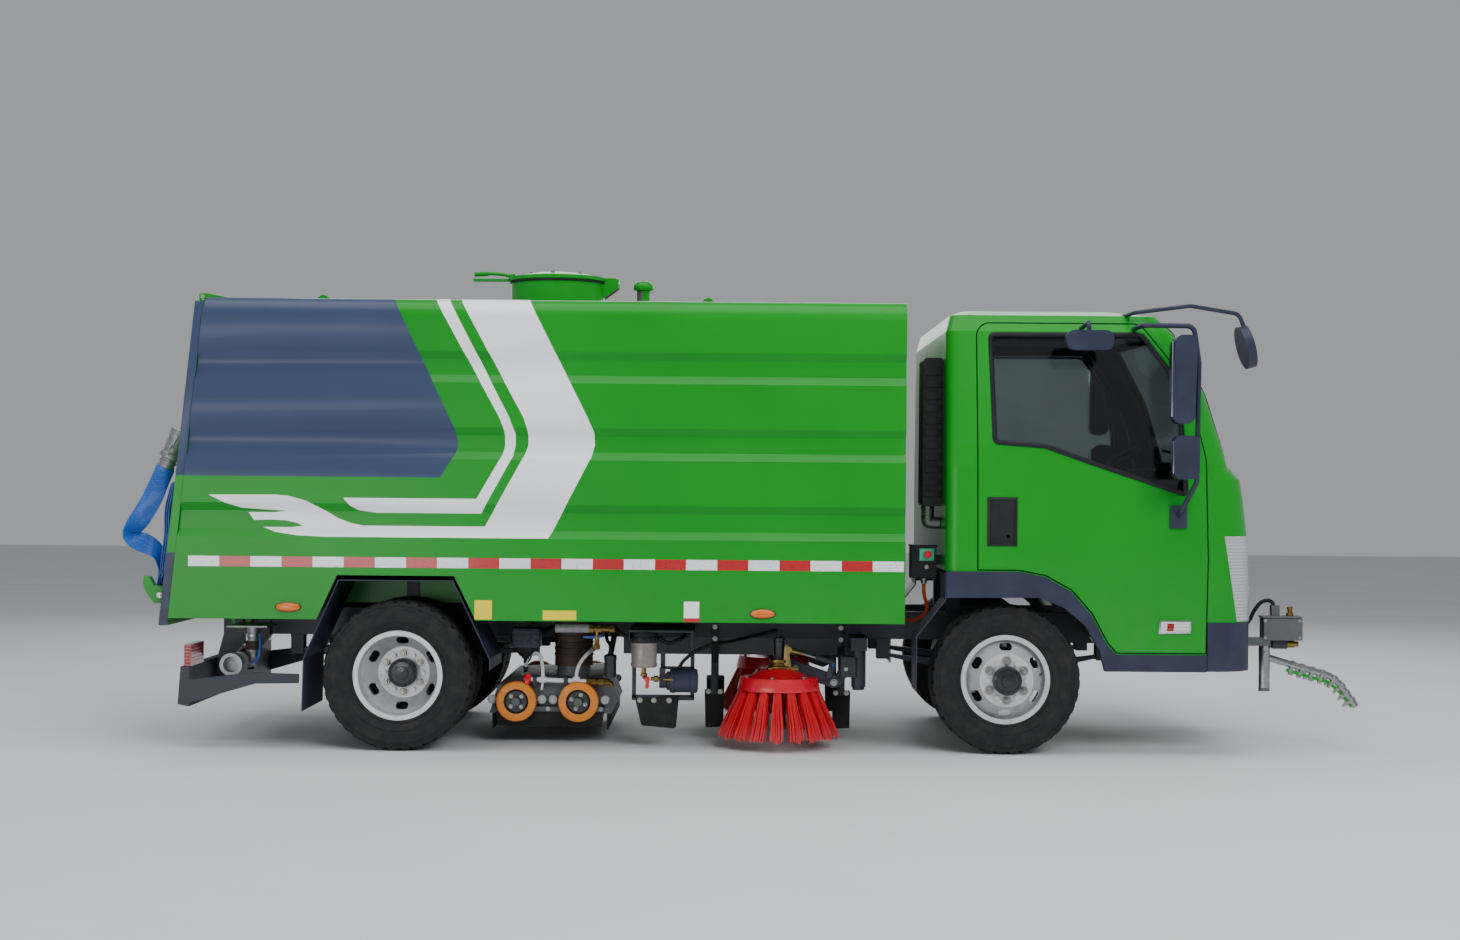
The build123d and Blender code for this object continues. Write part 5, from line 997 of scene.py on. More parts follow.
def nozzle_gear():
    """Rubber skirts, side rollers and the spray pipe with its tap, on the nozzle."""
    outline = [(-1.250, 0.190), (-0.700, 0.190), (-0.715, 0.085), (-1.235, 0.085)]
    skirts = [slab(outline, "Y", side * 0.566 - 0.005, side * 0.566 + 0.005, 0.002) for side in (-1, 1)]
    skirts += [block((x - 0.004, -0.552, 0.070), (x + 0.004, 0.552, 0.178), 0.002) for x in (-1.262, -0.688)]
    finish(skirts, "nozzle_skirts", RUBBER, "nozzle")
    clamps, heads, rollers = [], [], []
    shape = [
        (0.006, 0.0), (0.006, 0.020), (0.021, 0.022), (0.0225, 0.026), (0.0225, 0.040), (0.019, 0.044),
        (0.007, 0.045),
    ]
    for side in (-1, 1):
        near, far = side * 0.571, side * 0.571 + side * 0.005
        clamps.append(block((-1.245, near, 0.160), (-0.705, far, 0.186), 0.001))
        for x in (-1.262, -1.014, -0.958, -0.700):
            rollers.append(turned(shape, (x, side * ROLLER_Y, 0.222), (0, side, 0), 28))
        places = [(x, far, 0.173) for x in (-1.226, -0.985, -0.722)]
        heads.append(bolts(places, (0, side, 0), 0.014, 0.009))
    finish(clamps, "skirt_clamps", GREY_PAINT, "nozzle")
    finish(heads, "skirt_bolts", ZINC, "nozzle")
    finish(rollers, "side_rollers", PALE_PLASTIC, "nozzle")
    y = SPRAY_Y
    jets = (-1.009, -0.843)
    pipe = [tube([(-1.090, y, 0.324), (-0.790, y, PIPE_Z)], 0.0125, 16)]
    pipe += [tube([(x, y, 0.318), (x - 0.006, y, 0.272)], 0.006, 12) for x in jets]
    pipe += [turned([(0.0165, -0.016), (0.0165, 0.016)], (x, y, 0.3215), (1, 0, -0.03), 20) for x in jets]
    pipe.append(hose(
        [(-1.009, y, 0.330), (-1.014, y, 0.400), (-1.030, y + 0.005, 0.447), (-1.066, y + 0.015, 0.450),
         (-1.094, y + 0.03, 0.415), (-1.100, y + 0.052, 0.380)],
        0.0095, 14,
    ))
    pipe.append(hose(
        [(-0.843, y, 0.322), (-0.840, y, 0.365), (-0.822, y + 0.01, 0.410), (-0.792, y + 0.02, 0.448),
         (-0.765, y + 0.06, 0.470)],
        0.0095, 14,
    ))
    finish(pipe, "nozzle_spray_pipe", WHITE_PLASTIC, "nozzle", angle=50)
    tails = [
        turned([(0.014, 0), (0.014, 0.010), (0.011, 0.012), (0.011, length)], place, out, 6)
        for length, place, out in (
            (0.030, (-1.100, y + 0.052, 0.384), (0, 0.3, -1)),
            (0.034, (-0.768, y + 0.056, 0.469), (0.3, 0.7, 0.1)),
        )
    ]
    finish(tails, "hose_tails", BLACK_ENAMEL, "nozzle")
    shape = [
        (0.017, 0), (0.019, 0.004), (0.019, 0.050), (0.0155, 0.052), (0.0155, 0.060), (0.021, 0.062),
        (0.021, 0.090), (0.0165, 0.092), (0.0165, 0.118), (0.013, 0.122),
    ]
    elbow = tube([(-0.690, y, PIPE_Z), (-0.672, y, PIPE_Z), (-0.664, y, 0.290)], 0.011, 14, 0.01)
    finish([turned(shape, (-0.792, y, PIPE_Z), AHEAD, 8), elbow], "spray_pipe_union", BRASS, "nozzle")
    shape = [(0.010, 0.0), (0.010, 0.016), (0.016, 0.018), (0.018, 0.024), (0.018, 0.030), (0.013, 0.033)]
    lever = [(-1.100, 0.278), (-1.078, 0.278), (-1.074, 0.322), (-1.098, 0.322)]
    tap = [
        band(0.012, 0.017, 0.020, 0.018, (-1.086, y, 0.323), AHEAD, 24),
        turned(shape, (-1.086, y, 0.318), UP, 8),
        slab(lever, "Y", y - 0.026, y - 0.019, 0.003, 3),
    ]
    finish(tap, "spray_tap", RED_PLASTIC, "nozzle")
    outline = [
        (-0.600, 0.300), (-0.600, 0.342), (-0.585, 0.346), (-0.545, 0.346), (-0.545, 0.335), (-0.580, 0.333),
        (-0.588, 0.300),
    ]
    saddles = [slab(outline, "X", x, x + 0.022, 0.001) for x in (-1.060, -0.905)]
    for saddle in saddles:
        saddle.data.transform(Matrix.Translation((0, -0.017, -0.006)))
    finish(saddles, "spray_pipe_saddles", CHASSIS, "nozzle")


def duct_rings():
    """Wire helix rings that show through the suction hose."""
    low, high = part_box("suction_duct")
    x = (low[0] + high[0]) / 2
    rings = [band(0.0955, 0.0995, 0.006, 0.003, (x, -0.450, 0.440 + 0.030 * n), UP, 56) for n in range(7)]
    finish(rings, "suction_hose_rings", BROWN_RUBBER)


def valve_run():
    """Grey suction line under the body with its brass tap, and the ribbed relay box beside it."""
    y, z = -0.660, 0.583
    finish(tube([(-0.944, y, z), (-0.776, y, z)], 0.022, 20), "drain_line", PALE_PLASTIC)
    outline = [
        (-0.352, 0.645), (-0.352, 0.560), (-0.360, 0.560), (-0.360, 0.637), (-0.690, 0.622), (-0.690, 0.630),
    ]
    hangers = [slab(outline, "X", x, x + 0.035, 0.001) for x in (-0.995, -0.700)]
    finish(hangers, "drain_line_hangers", CHASSIS)
    shape = [
        (0.024, 0), (0.026, 0.003), (0.026, 0.020), (0.019, 0.022), (0.019, 0.040), (0.024, 0.042),
        (0.024, 0.062), (0.017, 0.064), (0.017, 0.100), (0.022, 0.102), (0.022, 0.126), (0.014, 0.130),
    ]
    nut = [(0.012, -0.002), (0.019, 0.0), (0.019, 0.020), (0.014, 0.022), (0.014, 0.040)]
    tap = [
        turned(shape, (-0.776, y, z), AHEAD, 8),
        tube([(-0.737, y, z), (-0.738, y, 0.530), (-0.738, y, 0.478)], 0.012, 14),
        turned(nut, (-0.738, y, 0.482), UP, 6),
    ]
    finish(tap, "drain_tap", BRASS)
    outline = [(-0.806, 0.536), (-0.744, 0.532), (-0.700, 0.541), (-0.700, 0.551), (-0.806, 0.546)]
    finish(slab(outline, "Y", y - 0.010, y + 0.010, 0.003, 3), "drain_tap_lever", BLUE_PLASTIC)
    box = [block((-1.161, y, 0.482), (-1.023, -0.520, 0.580), 0.006, 3)]
    for low, high in ((0.500, 0.520), (0.532, 0.552)):
        box += [
            block((-1.154 + 0.0335 * n, -0.665, low), (-1.132 + 0.0335 * n, -0.659, high), 0.002)
            for n in range(4)
        ]
    box.append(block((-1.125, -0.664, 0.560), (-1.060, -0.659, 0.570), 0.002))
    finish(box, "relay_box", GREY)
    outline = [
        (-0.350, 0.600), (-0.350, 0.540), (-0.358, 0.540), (-0.358, 0.590), (-0.530, 0.590), (-0.530, 0.600),
    ]
    finish(slab(outline, "X", -1.115, -1.070, 0.001), "relay_box_arm", CHASSIS)
    shape = [(0.062, 0.0), (0.060, -0.006), (0.030, -0.044), (0.018, -0.050), (0.018, -0.058)]
    finish(turned(shape, (-1.098, -0.590, 0.484), UP, 24), "relay_box_boot", RUBBER)
    loom = hose(
        [(-1.098, -0.590, 0.430), (-1.100, -0.560, 0.405), (-1.080, -0.480, 0.440), (-1.060, -0.400, 0.520),
         (-1.000, -0.362, 0.560), (-0.900, -0.356, 0.600)],
        0.010,
    )
    finish(loom, "relay_box_loom", RUBBER)


def water_filter():
    """Filter bowl and spray pump under their plate, with the tap, pipes and the mud flap below."""
    plate = block((-0.574, -0.800, 0.575), (-0.254, -0.352, 0.587), 0.002)
    lip = block((-0.574, -0.800, 0.535), (-0.568, -0.660, 0.580), 0.001)
    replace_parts(finish([plate, lip], "filter_plate", CHASSIS), "filter_unit")
    x, y = -0.500, -0.748
    shape = [
        (0.040, 0.400), (0.060, 0.402), (0.0645, 0.408), (0.0655, 0.416), (0.0630, 0.424), (0.0640, 0.520),
        (0.0690, 0.523), (0.0690, 0.532),
    ]
    finish(turned(shape, (x, y, 0), UP, 56), "filter_bowl", SMOKED_BOWL)
    cap = [turned([
        (0.0700, 0.524), (0.0740, 0.528), (0.0740, 0.548), (0.0660, 0.551), (0.0660, 0.556), (0.0690, 0.558),
        (0.0690, 0.566), (0.0640, 0.568), (0.0630, 0.576),
    ], (x, y, 0), UP, 56)]
    middle = Matrix.Translation((x, y, 0))
    for number in range(12):
        lug = block((x + 0.071, y - 0.006, 0.530), (x + 0.078, y + 0.006, 0.547), 0.001)
        lug.data.transform(middle @ spun(30 * number, "Z") @ middle.inverted())
        cap.append(lug)
    finish(cap, "filter_cap", BLACK)
    pump = (-0.374, -0.750, 0.336)
    px, py, pz = pump
    shape = [
        (0.044, 0.0), (0.056, 0.002), (0.060, 0.010), (0.060, 0.026), (0.0570, 0.028), (0.0570, 0.100),
        (0.060, 0.102), (0.060, 0.128), (0.055, 0.138), (0.030, 0.141),
    ]
    finish(turned(shape, pump, AHEAD, 56), "pump_motor", GREY)
    shape = [(0.030, -0.050), (0.036, -0.046), (0.036, -0.016), (0.046, -0.012), (0.046, 0.002)]
    stand = [
        turned(shape, pump, AHEAD, 40),
        block((px - 0.050, -0.765, 0.300), (px - 0.020, -0.735, 0.400), 0.004),
    ]
    for left, right, near, low, high in (
        (-0.420, -0.396, -0.700, 0.395, 0.578), (-0.272, -0.252, -0.700, 0.340, 0.578),
        (-0.560, -0.252, -0.700, 0.235, 0.262), (-0.560, -0.540, -0.700, 0.245, 0.578),
        (-0.420, -0.252, -0.690, 0.388, 0.402), (-0.272, -0.252, -0.700, 0.250, 0.345),
    ):
        stand.append(block((left, -0.712, low), (right, near, high), 0.001))
    finish(stand, "pump_stand", CHASSIS)
    inlet = py - 0.012
    fittings = [
        tube([(-0.466, inlet, 0.346), (-0.424, inlet, 0.346)], 0.010, 14),
        tube([(-0.400, py - 0.045, 0.3460), (-0.354, py - 0.055, 0.3460)], 0.008, 12),
        turned([(0.016, -0.010), (0.016, 0.010)], (-0.440, inlet, 0.346), AHEAD, 6),
        turned([(0.012, 0), (0.012, 0.030), (0.017, 0.032), (0.017, 0.044)], (x, y, 0.402), (0, 0, -1), 8),
        tube([(x, y, 0.372), (x, y, 0.350), (-0.480, inlet, 0.346)], 0.010, 14, 0.02),
    ]
    finish(fittings, "pump_fittings", BRASS)
    lever = [(-0.492, 0.300), (-0.474, 0.300), (-0.471, 0.356), (-0.489, 0.358)]
    stem = turned([(0.013, -0.016), (0.013, 0.016)], (-0.482, py - 0.022, 0.344), LEFT, 20)
    finish([slab(lever, "Y", py - 0.040, py - 0.030, 0.003, 3), stem], "pump_tap", RED_PLASTIC)
    shape = [
        (0.022, 0.345), (0.028, 0.350), (0.030, 0.360), (0.030, 0.430), (0.032, 0.434), (0.032, 0.452),
        (0.024, 0.458), (0.012, 0.462),
    ]
    outline = [
        (-0.690, 0.462), (-0.690, 0.450), (-0.362, 0.520), (-0.352, 0.520), (-0.352, 0.560), (-0.360, 0.560),
        (-0.360, 0.532),
    ]
    strainer = [turned(shape, (-0.668, -0.700, 0), UP, 36), slab(outline, "X", -0.682, -0.654, 0.001)]
    finish(strainer, "line_strainer", BLACK_ENAMEL)
    outline = [
        (-0.545, 0.249), (-0.327, 0.255), (-0.341, 0.104), (-0.352, 0.098), (-0.504, 0.110), (-0.514, 0.118),
    ]
    finish(slab(outline, "Y", -0.722, -0.712, 0.002), "pump_mud_flap", RUBBER)
    places = [(x, -0.722, 0.236) for x in (-0.520, -0.451, -0.376)]
    finish(bolts(places, (0, -1, 0), 0.017, 0.010), "mud_flap_bolts", ZINC)
    runs = [
        hose([(-0.430, -0.745, 0.545), (-0.380, -0.730, 0.520), (-0.330, -0.700, 0.535),
              (-0.300, -0.560, 0.555),
              (-0.280, -0.380, 0.560)], 0.010),
        hose([(-0.560, -0.745, 0.545), (-0.610, -0.730, 0.560), (-0.645, -0.672, 0.583)], 0.011),
        hose([(-0.668, -0.700, 0.455), (-0.668, -0.690, 0.490), (-0.690, -0.600, 0.520),
              (-0.700, -0.480, 0.540),
              (-0.700, -0.372, 0.560)], 0.009),
        hose([(-0.330, -0.748, 0.396), (-0.300, -0.760, 0.440), (-0.200, -0.700, 0.500),
              (-0.060, -0.560, 0.520),
              (0.060, -0.420, 0.540), (0.160, -0.372, 0.560)], 0.009),
    ]
    finish(runs, "water_hoses", RUBBER)


# Films on the water and dirt body

SLATE_PANEL = [
    (-1.720, 2.20), (-1.429, 1.591), (-1.411, 1.548), (-1.402, 1.51), (-1.402, 1.47), (-1.412, 1.438),
    (-1.483, 1.324), (-2.90, 1.324), (-2.90, 2.20),
]
NARROW_STRIPE = [
    (-1.522, 2.20), (-1.199, 1.616), (-1.178, 1.566), (-1.171, 1.52), (-1.172, 1.478), (-1.184, 1.435),
    (-1.306, 1.223), (-1.949, 1.223), (-1.915, 1.185), (-1.877, 1.164), (-1.794, 1.152), (-1.285, 1.152),
    (-1.134, 1.427), (-1.121, 1.481), (-1.122, 1.541), (-1.151, 1.616), (-1.455, 2.20),
]
WIDE_STRIPE = [
    (-1.400, 2.20), (-1.083, 1.617), (-1.065, 1.565), (-1.058, 1.52), (-1.061, 1.478), (-1.076, 1.436),
    (-1.267, 1.089), (-1.854, 1.089), (-1.915, 1.101), (-1.975, 1.124), (-2.036, 1.160), (-2.126, 1.207),
    (-2.217, 1.231), (-2.277, 1.235), (-2.597, 1.233), (-2.525, 1.198), (-2.442, 1.172), (-2.359, 1.166),
    (-2.277, 1.161), (-2.222, 1.156), (-2.292, 1.150), (-2.409, 1.150), (-2.382, 1.112), (-2.306, 1.115),
    (-2.231, 1.112), (-2.171, 1.099), (-2.146, 1.086), (-2.201, 1.079), (-2.339, 1.079), (-2.276, 1.055),
    (-2.170, 1.040), (-2.034, 1.034), (-0.960, 1.034), (-0.943, 1.062), (-0.757, 1.424), (-0.739, 1.484),
    (-0.742, 1.55), (-0.774, 1.620), (-1.068, 2.20),
]
BODY_HALF_WIDTH = 0.950
BODY_FRONT_X = 0.762
TAPE_START_X = -2.693
TAPE_STEP = 0.15
TAPE_HEIGHTS = (0.888, 0.938)


def inside(point, ring):
    """True where the point lies inside the ring, both as (x, z)."""
    crossings = 0
    for (ax, az), (bx, bz) in zip(ring, ring[1:] + ring[:1]):
        if (az > point[1]) != (bz > point[1]):
            if point[0] < ax + (point[1] - az) * (bx - ax) / (bz - az):
                crossings += 1
    return crossings % 2 == 1


def outer_side(face, side):
    """True for the outer skin of the body's side wall and its rounded top corner."""
    y, z = face.center.y * side, face.center.z
    if abs(face.normal.x) > 0.5 or face.normal.z < -0.9:
        return False
    if z > 2.1:
        return math.hypot(y - 0.86, z - 2.1) > 0.07 and y > 0.86
    return y > 0.913


def body_side(side):
    """A copy of the body's outer side skin, its doubles merged."""
    skin = again(nodes["hopper_shell"], Matrix.Identity(4))
    skin.parent = None
    for key in list(skin.keys()):
        del skin[key]
    skin.hide_render = False
    take(skin)
    edit_all()
    merge_doubles()
    leave()
    bpy.ops.mesh.customdata_custom_splitnormals_clear()
    pick(skin, lambda face: not outer_side(face, side))
    bpy.ops.mesh.delete(type="FACE")
    leave()
    return skin


def film(name, skin, rings, lift, material):
    """Films cut from the skin along each ring and laid on it."""
    sheet = again(skin, Matrix.Identity(4))
    take(sheet)
    bpy.ops.object.mode_set(mode="EDIT")
    for ring in rings:
        for (ax, az), (bx, bz) in zip(ring, ring[1:] + ring[:1]):
            bpy.ops.mesh.select_all(action="SELECT")
            bpy.ops.mesh.bisect(plane_co=(ax, 0, az), plane_no=(bz - az, 0, ax - bx), use_fill=False)
    leave()
    pick(sheet, lambda face: not any(inside((face.center.x, face.center.z), ring) for ring in rings))
    bpy.ops.mesh.delete(type="FACE")
    bpy.ops.mesh.select_all(action="SELECT")
    bpy.ops.mesh.dissolve_limited(angle_limit=math.radians(0.5))
    bpy.ops.transform.shrink_fatten(value=lift)
    leave()
    finish(sheet, name, material, "hopper")


def livery():
    tape = []
    low, high = TAPE_HEIGHTS
    for number in range(23):
        x = TAPE_START_X + TAPE_STEP * number
        end = min(x + TAPE_STEP, BODY_FRONT_X)
        tape.append([(x, low), (end, low), (end, high), (x, high)])
    for side, word in SIDES:
        skin = body_side(side)
        film("slate_panel_" + word, skin, [SLATE_PANEL], 0.0006, SLATE)
        film("narrow_white_stripe_" + word, skin, [NARROW_STRIPE], 0.0008, WHITE_FILM)
        film("wide_white_stripe_" + word, skin, [WIDE_STRIPE], 0.0008, WHITE_FILM)
        film("white_tape_" + word, skin, tape[::2], 0.0008, WHITE_TAPE)
        film("red_tape_" + word, skin, tape[1::2], 0.0008, RED_TAPE)
        discard(skin)


# Cab

# height, front face ahead of the front axle, lean of the side
CAB_SHAPE = [
    (0.497, 1.246, 0.0), (1.011, 1.239, 0.0), (1.269, 1.211, 0.0), (1.345, 1.198, 0.0), (1.400, 1.141, 0.001),
    (1.508, 1.110, 0.008), (1.763, 1.025, 0.034), (2.060, 0.862, 0.068), (2.140, 0.780, 0.104),
    (2.169, 0.602, 0.230),
]
CAB_HALF_WIDTH = 0.930
SCREEN_LOW, SCREEN_HIGH = 1.432, 2.078
DOOR_WINDOW = [
    (-0.089, 2.043), (-0.069, 1.518), (0.173, 1.501), (0.395, 1.423), (0.855, 1.271), (0.832, 1.620),
    (0.777, 1.872), (0.647, 2.047),
]
DOOR_TRIM = [
    (1.140, 0.930), (1.140, 1.470), (1.437, 1.450), (1.659, 1.375), (2.080, 1.240), (2.150, 1.180),
    (2.150, 0.580), (1.800, 0.580), (1.720, 0.700), (1.600, 0.850), (1.460, 0.930),
]
HANDLE_X = FRONT_AXLE_X - 0.032
TURN_LAMP_X = 2.068
# name, material, outline round TURN_LAMP_X, reach from the skin, bevel
TURN_LAMP = (
    (
        "frame", CHROME, [(-0.080, 0.597), (0.076, 0.602), (0.084, 0.664), (-0.074, 0.664)],
        -0.002, 0.009, 0.003,
    ),
    (
        "lens", WHITE_LENS, [(-0.071, 0.604), (0.068, 0.609), (0.075, 0.657), (-0.066, 0.657)],
        0.004, 0.0125, 0.003,
    ),
    (
        "eye", RED_LENS, [(-0.040, 0.612), (-0.006, 0.613), (-0.003, 0.650), (-0.037, 0.650)],
        0.006, 0.0135, 0.002,
    ),
)


def cab_shape(z):
    """The nose's reach and the side's lean at a height."""
    for (low, reach, lean), (high, next_reach, next_lean) in zip(CAB_SHAPE, CAB_SHAPE[1:]):
        if z <= high:
            share = max(0.0, (z - low) / (high - low))
            return reach + share * (next_reach - reach), lean + share * (next_lean - lean)
    return CAB_SHAPE[-1][1:]


def door_skin(x, z, side, proud):
    return (x, side * (CAB_HALF_WIDTH - cab_shape(z)[1] + proud), z)


def screen_skin(y, z, proud):
    """A point of the bowed windscreen."""
    bow = 0.060 - 0.025 * max(0.0, z - 1.45)
    return (FRONT_AXLE_X + cab_shape(z)[0] - bow * (y / 0.785) ** 2 + proud, y, z)


def closed_tube(points, radius, bend):
    """A round strip along a closed outline, its corners rounded."""
    first = (Vector(points[0]) + Vector(points[1])) / 2
    return tube([first] + list(points[1:]) + [points[0], first], radius, 10, bend)


def door_fittings(side, word):
    """Window rubber, handle in its bezel, turn lamp, mirror glasses and the inner trim of one door."""
    body = "door_" + word[0]
    ring = []
    for (x, z), (next_x, next_z) in zip(DOOR_WINDOW, DOOR_WINDOW[1:] + DOOR_WINDOW[:1]):
        for share in (0.0, 0.35, 0.7):
            px, pz = FRONT_AXLE_X + x + share * (next_x - x), z + share * (next_z - z)
            ring.append(door_skin(px, pz, side, -0.004))
    finish(closed_tube(ring, 0.0125, 0.022), "door_window_seal_" + word, SEAL, body, angle=60)
    x = HANDLE_X
    skin = side * CAB_HALF_WIDTH
    outline = [(x - 0.073, 1.015), (x + 0.073, 1.015), (x + 0.073, 1.253), (x - 0.073, 1.253)]
    bezel = slab(outline, "Y", skin - side * 0.004, skin + side * 0.004, 0.003)
    pick(bezel, lambda face: face.normal.y * side > 0.9)
    bpy.ops.mesh.inset(thickness=0.012, depth=0.0)
    bpy.ops.mesh.extrude_region_move(TRANSFORM_OT_translate={"value": (0, -side * 0.018, 0)})
    leave()
    grip = block((x - 0.054, skin - side * 0.026, 1.052), (x - 0.006, skin - side * 0.003, 1.222), 0.007, 3)
    finish([bezel, grip], "door_handle_" + word, BLACK, body)
    barrel = [(0.012, 0.0), (0.012, 0.010), (0.009, 0.012)]
    lock = turned(barrel, (x + 0.030, skin - side * 0.016, 1.062), (0, side, 0), 24)
    finish(lock, "door_lock_" + word, CHROME, body)
    for name, material, outline, low, high, bevel in TURN_LAMP:
        ring = [(TURN_LAMP_X + along, z) for along, z in outline]
        plate = slab(ring, "Y", skin + side * low, skin + side * high, bevel)
        finish(plate, f"turn_lamp_{name}_{word}", material, body)
    inner = side * 0.8735
    trim = slab(DOOR_TRIM, "Y", inner, inner - side * 0.010, 0.004)
    rest = block((1.330, inner - side * 0.050, 1.050), (1.820, inner, 1.100), 0.014, 3)
    finish([trim, rest], "door_inner_trim_" + word, BLACK, body)
    glasses = [
        block((FRONT_AXLE_X + back, side * near, low), (FRONT_AXLE_X + front, side * far, high), 0.002)
        for back, front, near, far, low, high in (
            (0.733, 0.7445, 1.092, 1.152, 1.640, 1.995), (0.7435, 0.7515, 1.087, 1.148, 1.372, 1.526),
        )
    ]
    finish(glasses, "mirror_glasses_" + word, MIRROR, body)


def nose_trim():
    """Windscreen and rear window rubbers, wipers, cowl louvres and lamp rims."""
    heights = (SCREEN_LOW, 1.508, 1.595, 1.680, 1.763, 1.862, 1.960, 2.060, SCREEN_HIGH)
    rise = [(0.735 - 0.045 * (z - SCREEN_LOW) / 0.646, z) for z in heights]
    screen = rise + [(y, SCREEN_HIGH) for y in (0.45, 0.0, -0.45)]
    screen += [(-y, z) for y, z in rise[::-1]] + [(y, SCREEN_LOW) for y in (-0.45, 0.0, 0.45)]
    seal = closed_tube([screen_skin(y, z, -0.006) for y, z in screen], 0.018, 0.05)
    finish(seal, "windscreen_seal", SEAL, angle=60)
    x = FRONT_AXLE_X - 0.295
    ring = [(x, y, z) for y, z in ((-0.470, 1.480), (0.470, 1.480), (0.470, 1.830), (-0.470, 1.830))]
    finish(closed_tube(ring, 0.013, 0.05), "rear_window_seal", SEAL, angle=60)
    arms, blades = [], []
    pivot = [(0.016, -0.012), (0.020, 0.0), (0.018, 0.018), (0.008, 0.024)]
    for root, tip in ((-0.55, -0.02), (0.06, 0.60)):
        bends = ((root, 1.380, 0.020), (root + 0.05, 1.440, 0.026), ((root + tip) / 2 + 0.05, 1.500, 0.028))
        arms.append(tube([screen_skin(*bend) for bend in bends], 0.007, 8))
        arms.append(turned(pivot, screen_skin(root, 1.378, 0.006), (1, 0, 0.3), 20))
        shares = (0.0, 0.25, 0.5, 0.75, 1.0)
        blade = [screen_skin(root + 0.02 + 0.6 * share, 1.455 + 0.060 * share, 0.016) for share in shares]
        blades.append(tube(blade, 0.008, 6))
    finish(arms, "wiper_arms", BLACK_ENAMEL, slot="black_paint")
    finish(blades, "wiper_blades", RUBBER)
    ends = ((1.352, 0.004), (1.392, 0.006))
    cowl = [tube([screen_skin(-0.70 + n * 0.128, *end) for end in ends], 0.006, 6) for n in range(12)]
    finish(cowl, "cowl_louvres", BLACK)
    bowls, rims = [], []
    for side in (-1, 1):
        for x, y, z, radius in ((2.452, 0.735, 0.955, 0.058), (2.4575, 0.745, 0.815, 0.048)):
            place, out = (x, side * y, z), (1.0, side * 0.30, 0.05)
            rim = ((0.0, -0.004), (0.005, 0.002), (0.003, 0.010), (-0.004, 0.010), (-0.006, 0.0))
            rims.append(turned([(radius + more, at) for more, at in rim], place, out, 40))
            bowl = [(radius - 0.006, 0.0), (radius * 0.80, 0.008), (radius * 0.4, 0.013), (0.003, 0.015)]
            bowls.append(turned(bowl, place, out, 40))
    finish(rims, "headlamp_rims", CHROME)
    finish(bowls, "headlamp_bowls", WHITE_LENS)


def cab_back_gear():
    """Air intake elbow and cleaner ribs, and the switch box with its stop button and cable."""
    x, y = 0.902, -0.600
    bends = [(x, y, 1.210), (x, y, 1.150), (x, y, 1.122), (0.930, y, 1.120), (0.961, y, 1.120)]
    finish(tube(bends, 0.0305, 24, 0.03), "intake_elbow", CAST)
    bands = [band(0.032, 0.034, 0.007, 0.005, (x, y, z), UP, 32) for z in (1.196, 1.150)]
    finish(bands, "intake_clamps", ZINC)
    ribs = [
        block((0.872, -0.726, 1.250 + 0.060 * n), (0.958, -0.718, 1.282 + 0.060 * n), 0.003)
        for n in range(11)
    ]
    finish(ribs, "air_cleaner_ribs", BLACK)
    outline = [(0.852, 0.935), (0.925, 0.935), (0.925, 0.995), (0.852, 0.995)]
    finish(slab(outline, "Y", -0.724, -0.717, 0.002), "switch_plate", GREEN_PLASTIC)
    out = (0, -1, 0)
    shape = [(0.014, 0.0), (0.014, 0.010), (0.019, 0.014), (0.019, 0.022), (0.012, 0.026)]
    finish(turned(shape, (0.892, -0.722, 0.968), out, 28), "stop_button", RED_PLASTIC)
    shape = [(0.020, 0.0), (0.020, 0.016), (0.014, 0.018), (0.014, 0.030)]
    socket = turned(shape, (0.878, -0.690, 0.850), (0, 0, -1), 20)
    key = turned([(0.011, 0.0), (0.011, 0.012), (0.007, 0.013)], (0.888, -0.720, 0.905), out, 20)
    finish([socket, key], "switch_box_fittings", ZINC)
    finish(block((0.808, -0.7215, 1.004), (0.941, -0.600, 1.014), 0.003), "switch_box_lid", BLACK)
    cable = hose(
        [(0.878, -0.690, 0.822), (0.880, -0.685, 0.770), (0.900, -0.640, 0.700), (0.870, -0.520, 0.640),
         (0.820, -0.380, 0.620)],
        0.009,
    )
    finish(cable, "switch_box_cable", ORANGE_SLEEVE)


CLOTH_FRAMES = 20
SEAM = 0.007  # a seam's depth and half width


def blown_up(piece, cap):
    """Blows a cushion up from its pattern: remesh, pressed cloth, each point held within the cap."""
    take(piece)
    voxels = piece.modifiers.new("voxels", "REMESH")
    voxels.mode = "VOXEL"
    voxels.voxel_size = 0.006
    apply_all(piece)
    before = [point.co.copy() for point in piece.data.vertices]
    cloth = piece.modifiers.new("cloth", "CLOTH")
    cloth.settings.use_pressure = True
    cloth.settings.uniform_pressure_force = 4.0
    cloth.settings.effector_weights.gravity = 0.0
    cloth.settings.quality = 5
    cloth.point_cache.frame_start = 1
    cloth.point_cache.frame_end = CLOTH_FRAMES
    for step in range(1, CLOTH_FRAMES + 1):
        bpy.context.scene.frame_set(step)
    take(piece)
    bpy.ops.object.modifier_apply(modifier="cloth")
    for point, old in zip(piece.data.vertices, before):
        travel = point.co - old
        if travel.length > cap:
            point.co = old + travel.normalized() * cap
    bpy.context.scene.frame_set(1)


def sewn(piece, facing, lines):
    """Presses sewn channels into the faces that look the given way: each line is (axis number, place)."""
    mesh = piece.data
    mesh.update()
    normals = [normal.vector.copy() for normal in mesh.vertex_normals]
    for point, normal in zip(mesh.vertices, normals):
        if normal.dot(Vector(facing)) < 0.3:
            continue
        for axis, place in lines:
            off = (point.co[axis] - place) / SEAM
            point.co -= normal * SEAM * math.exp(-off * off)


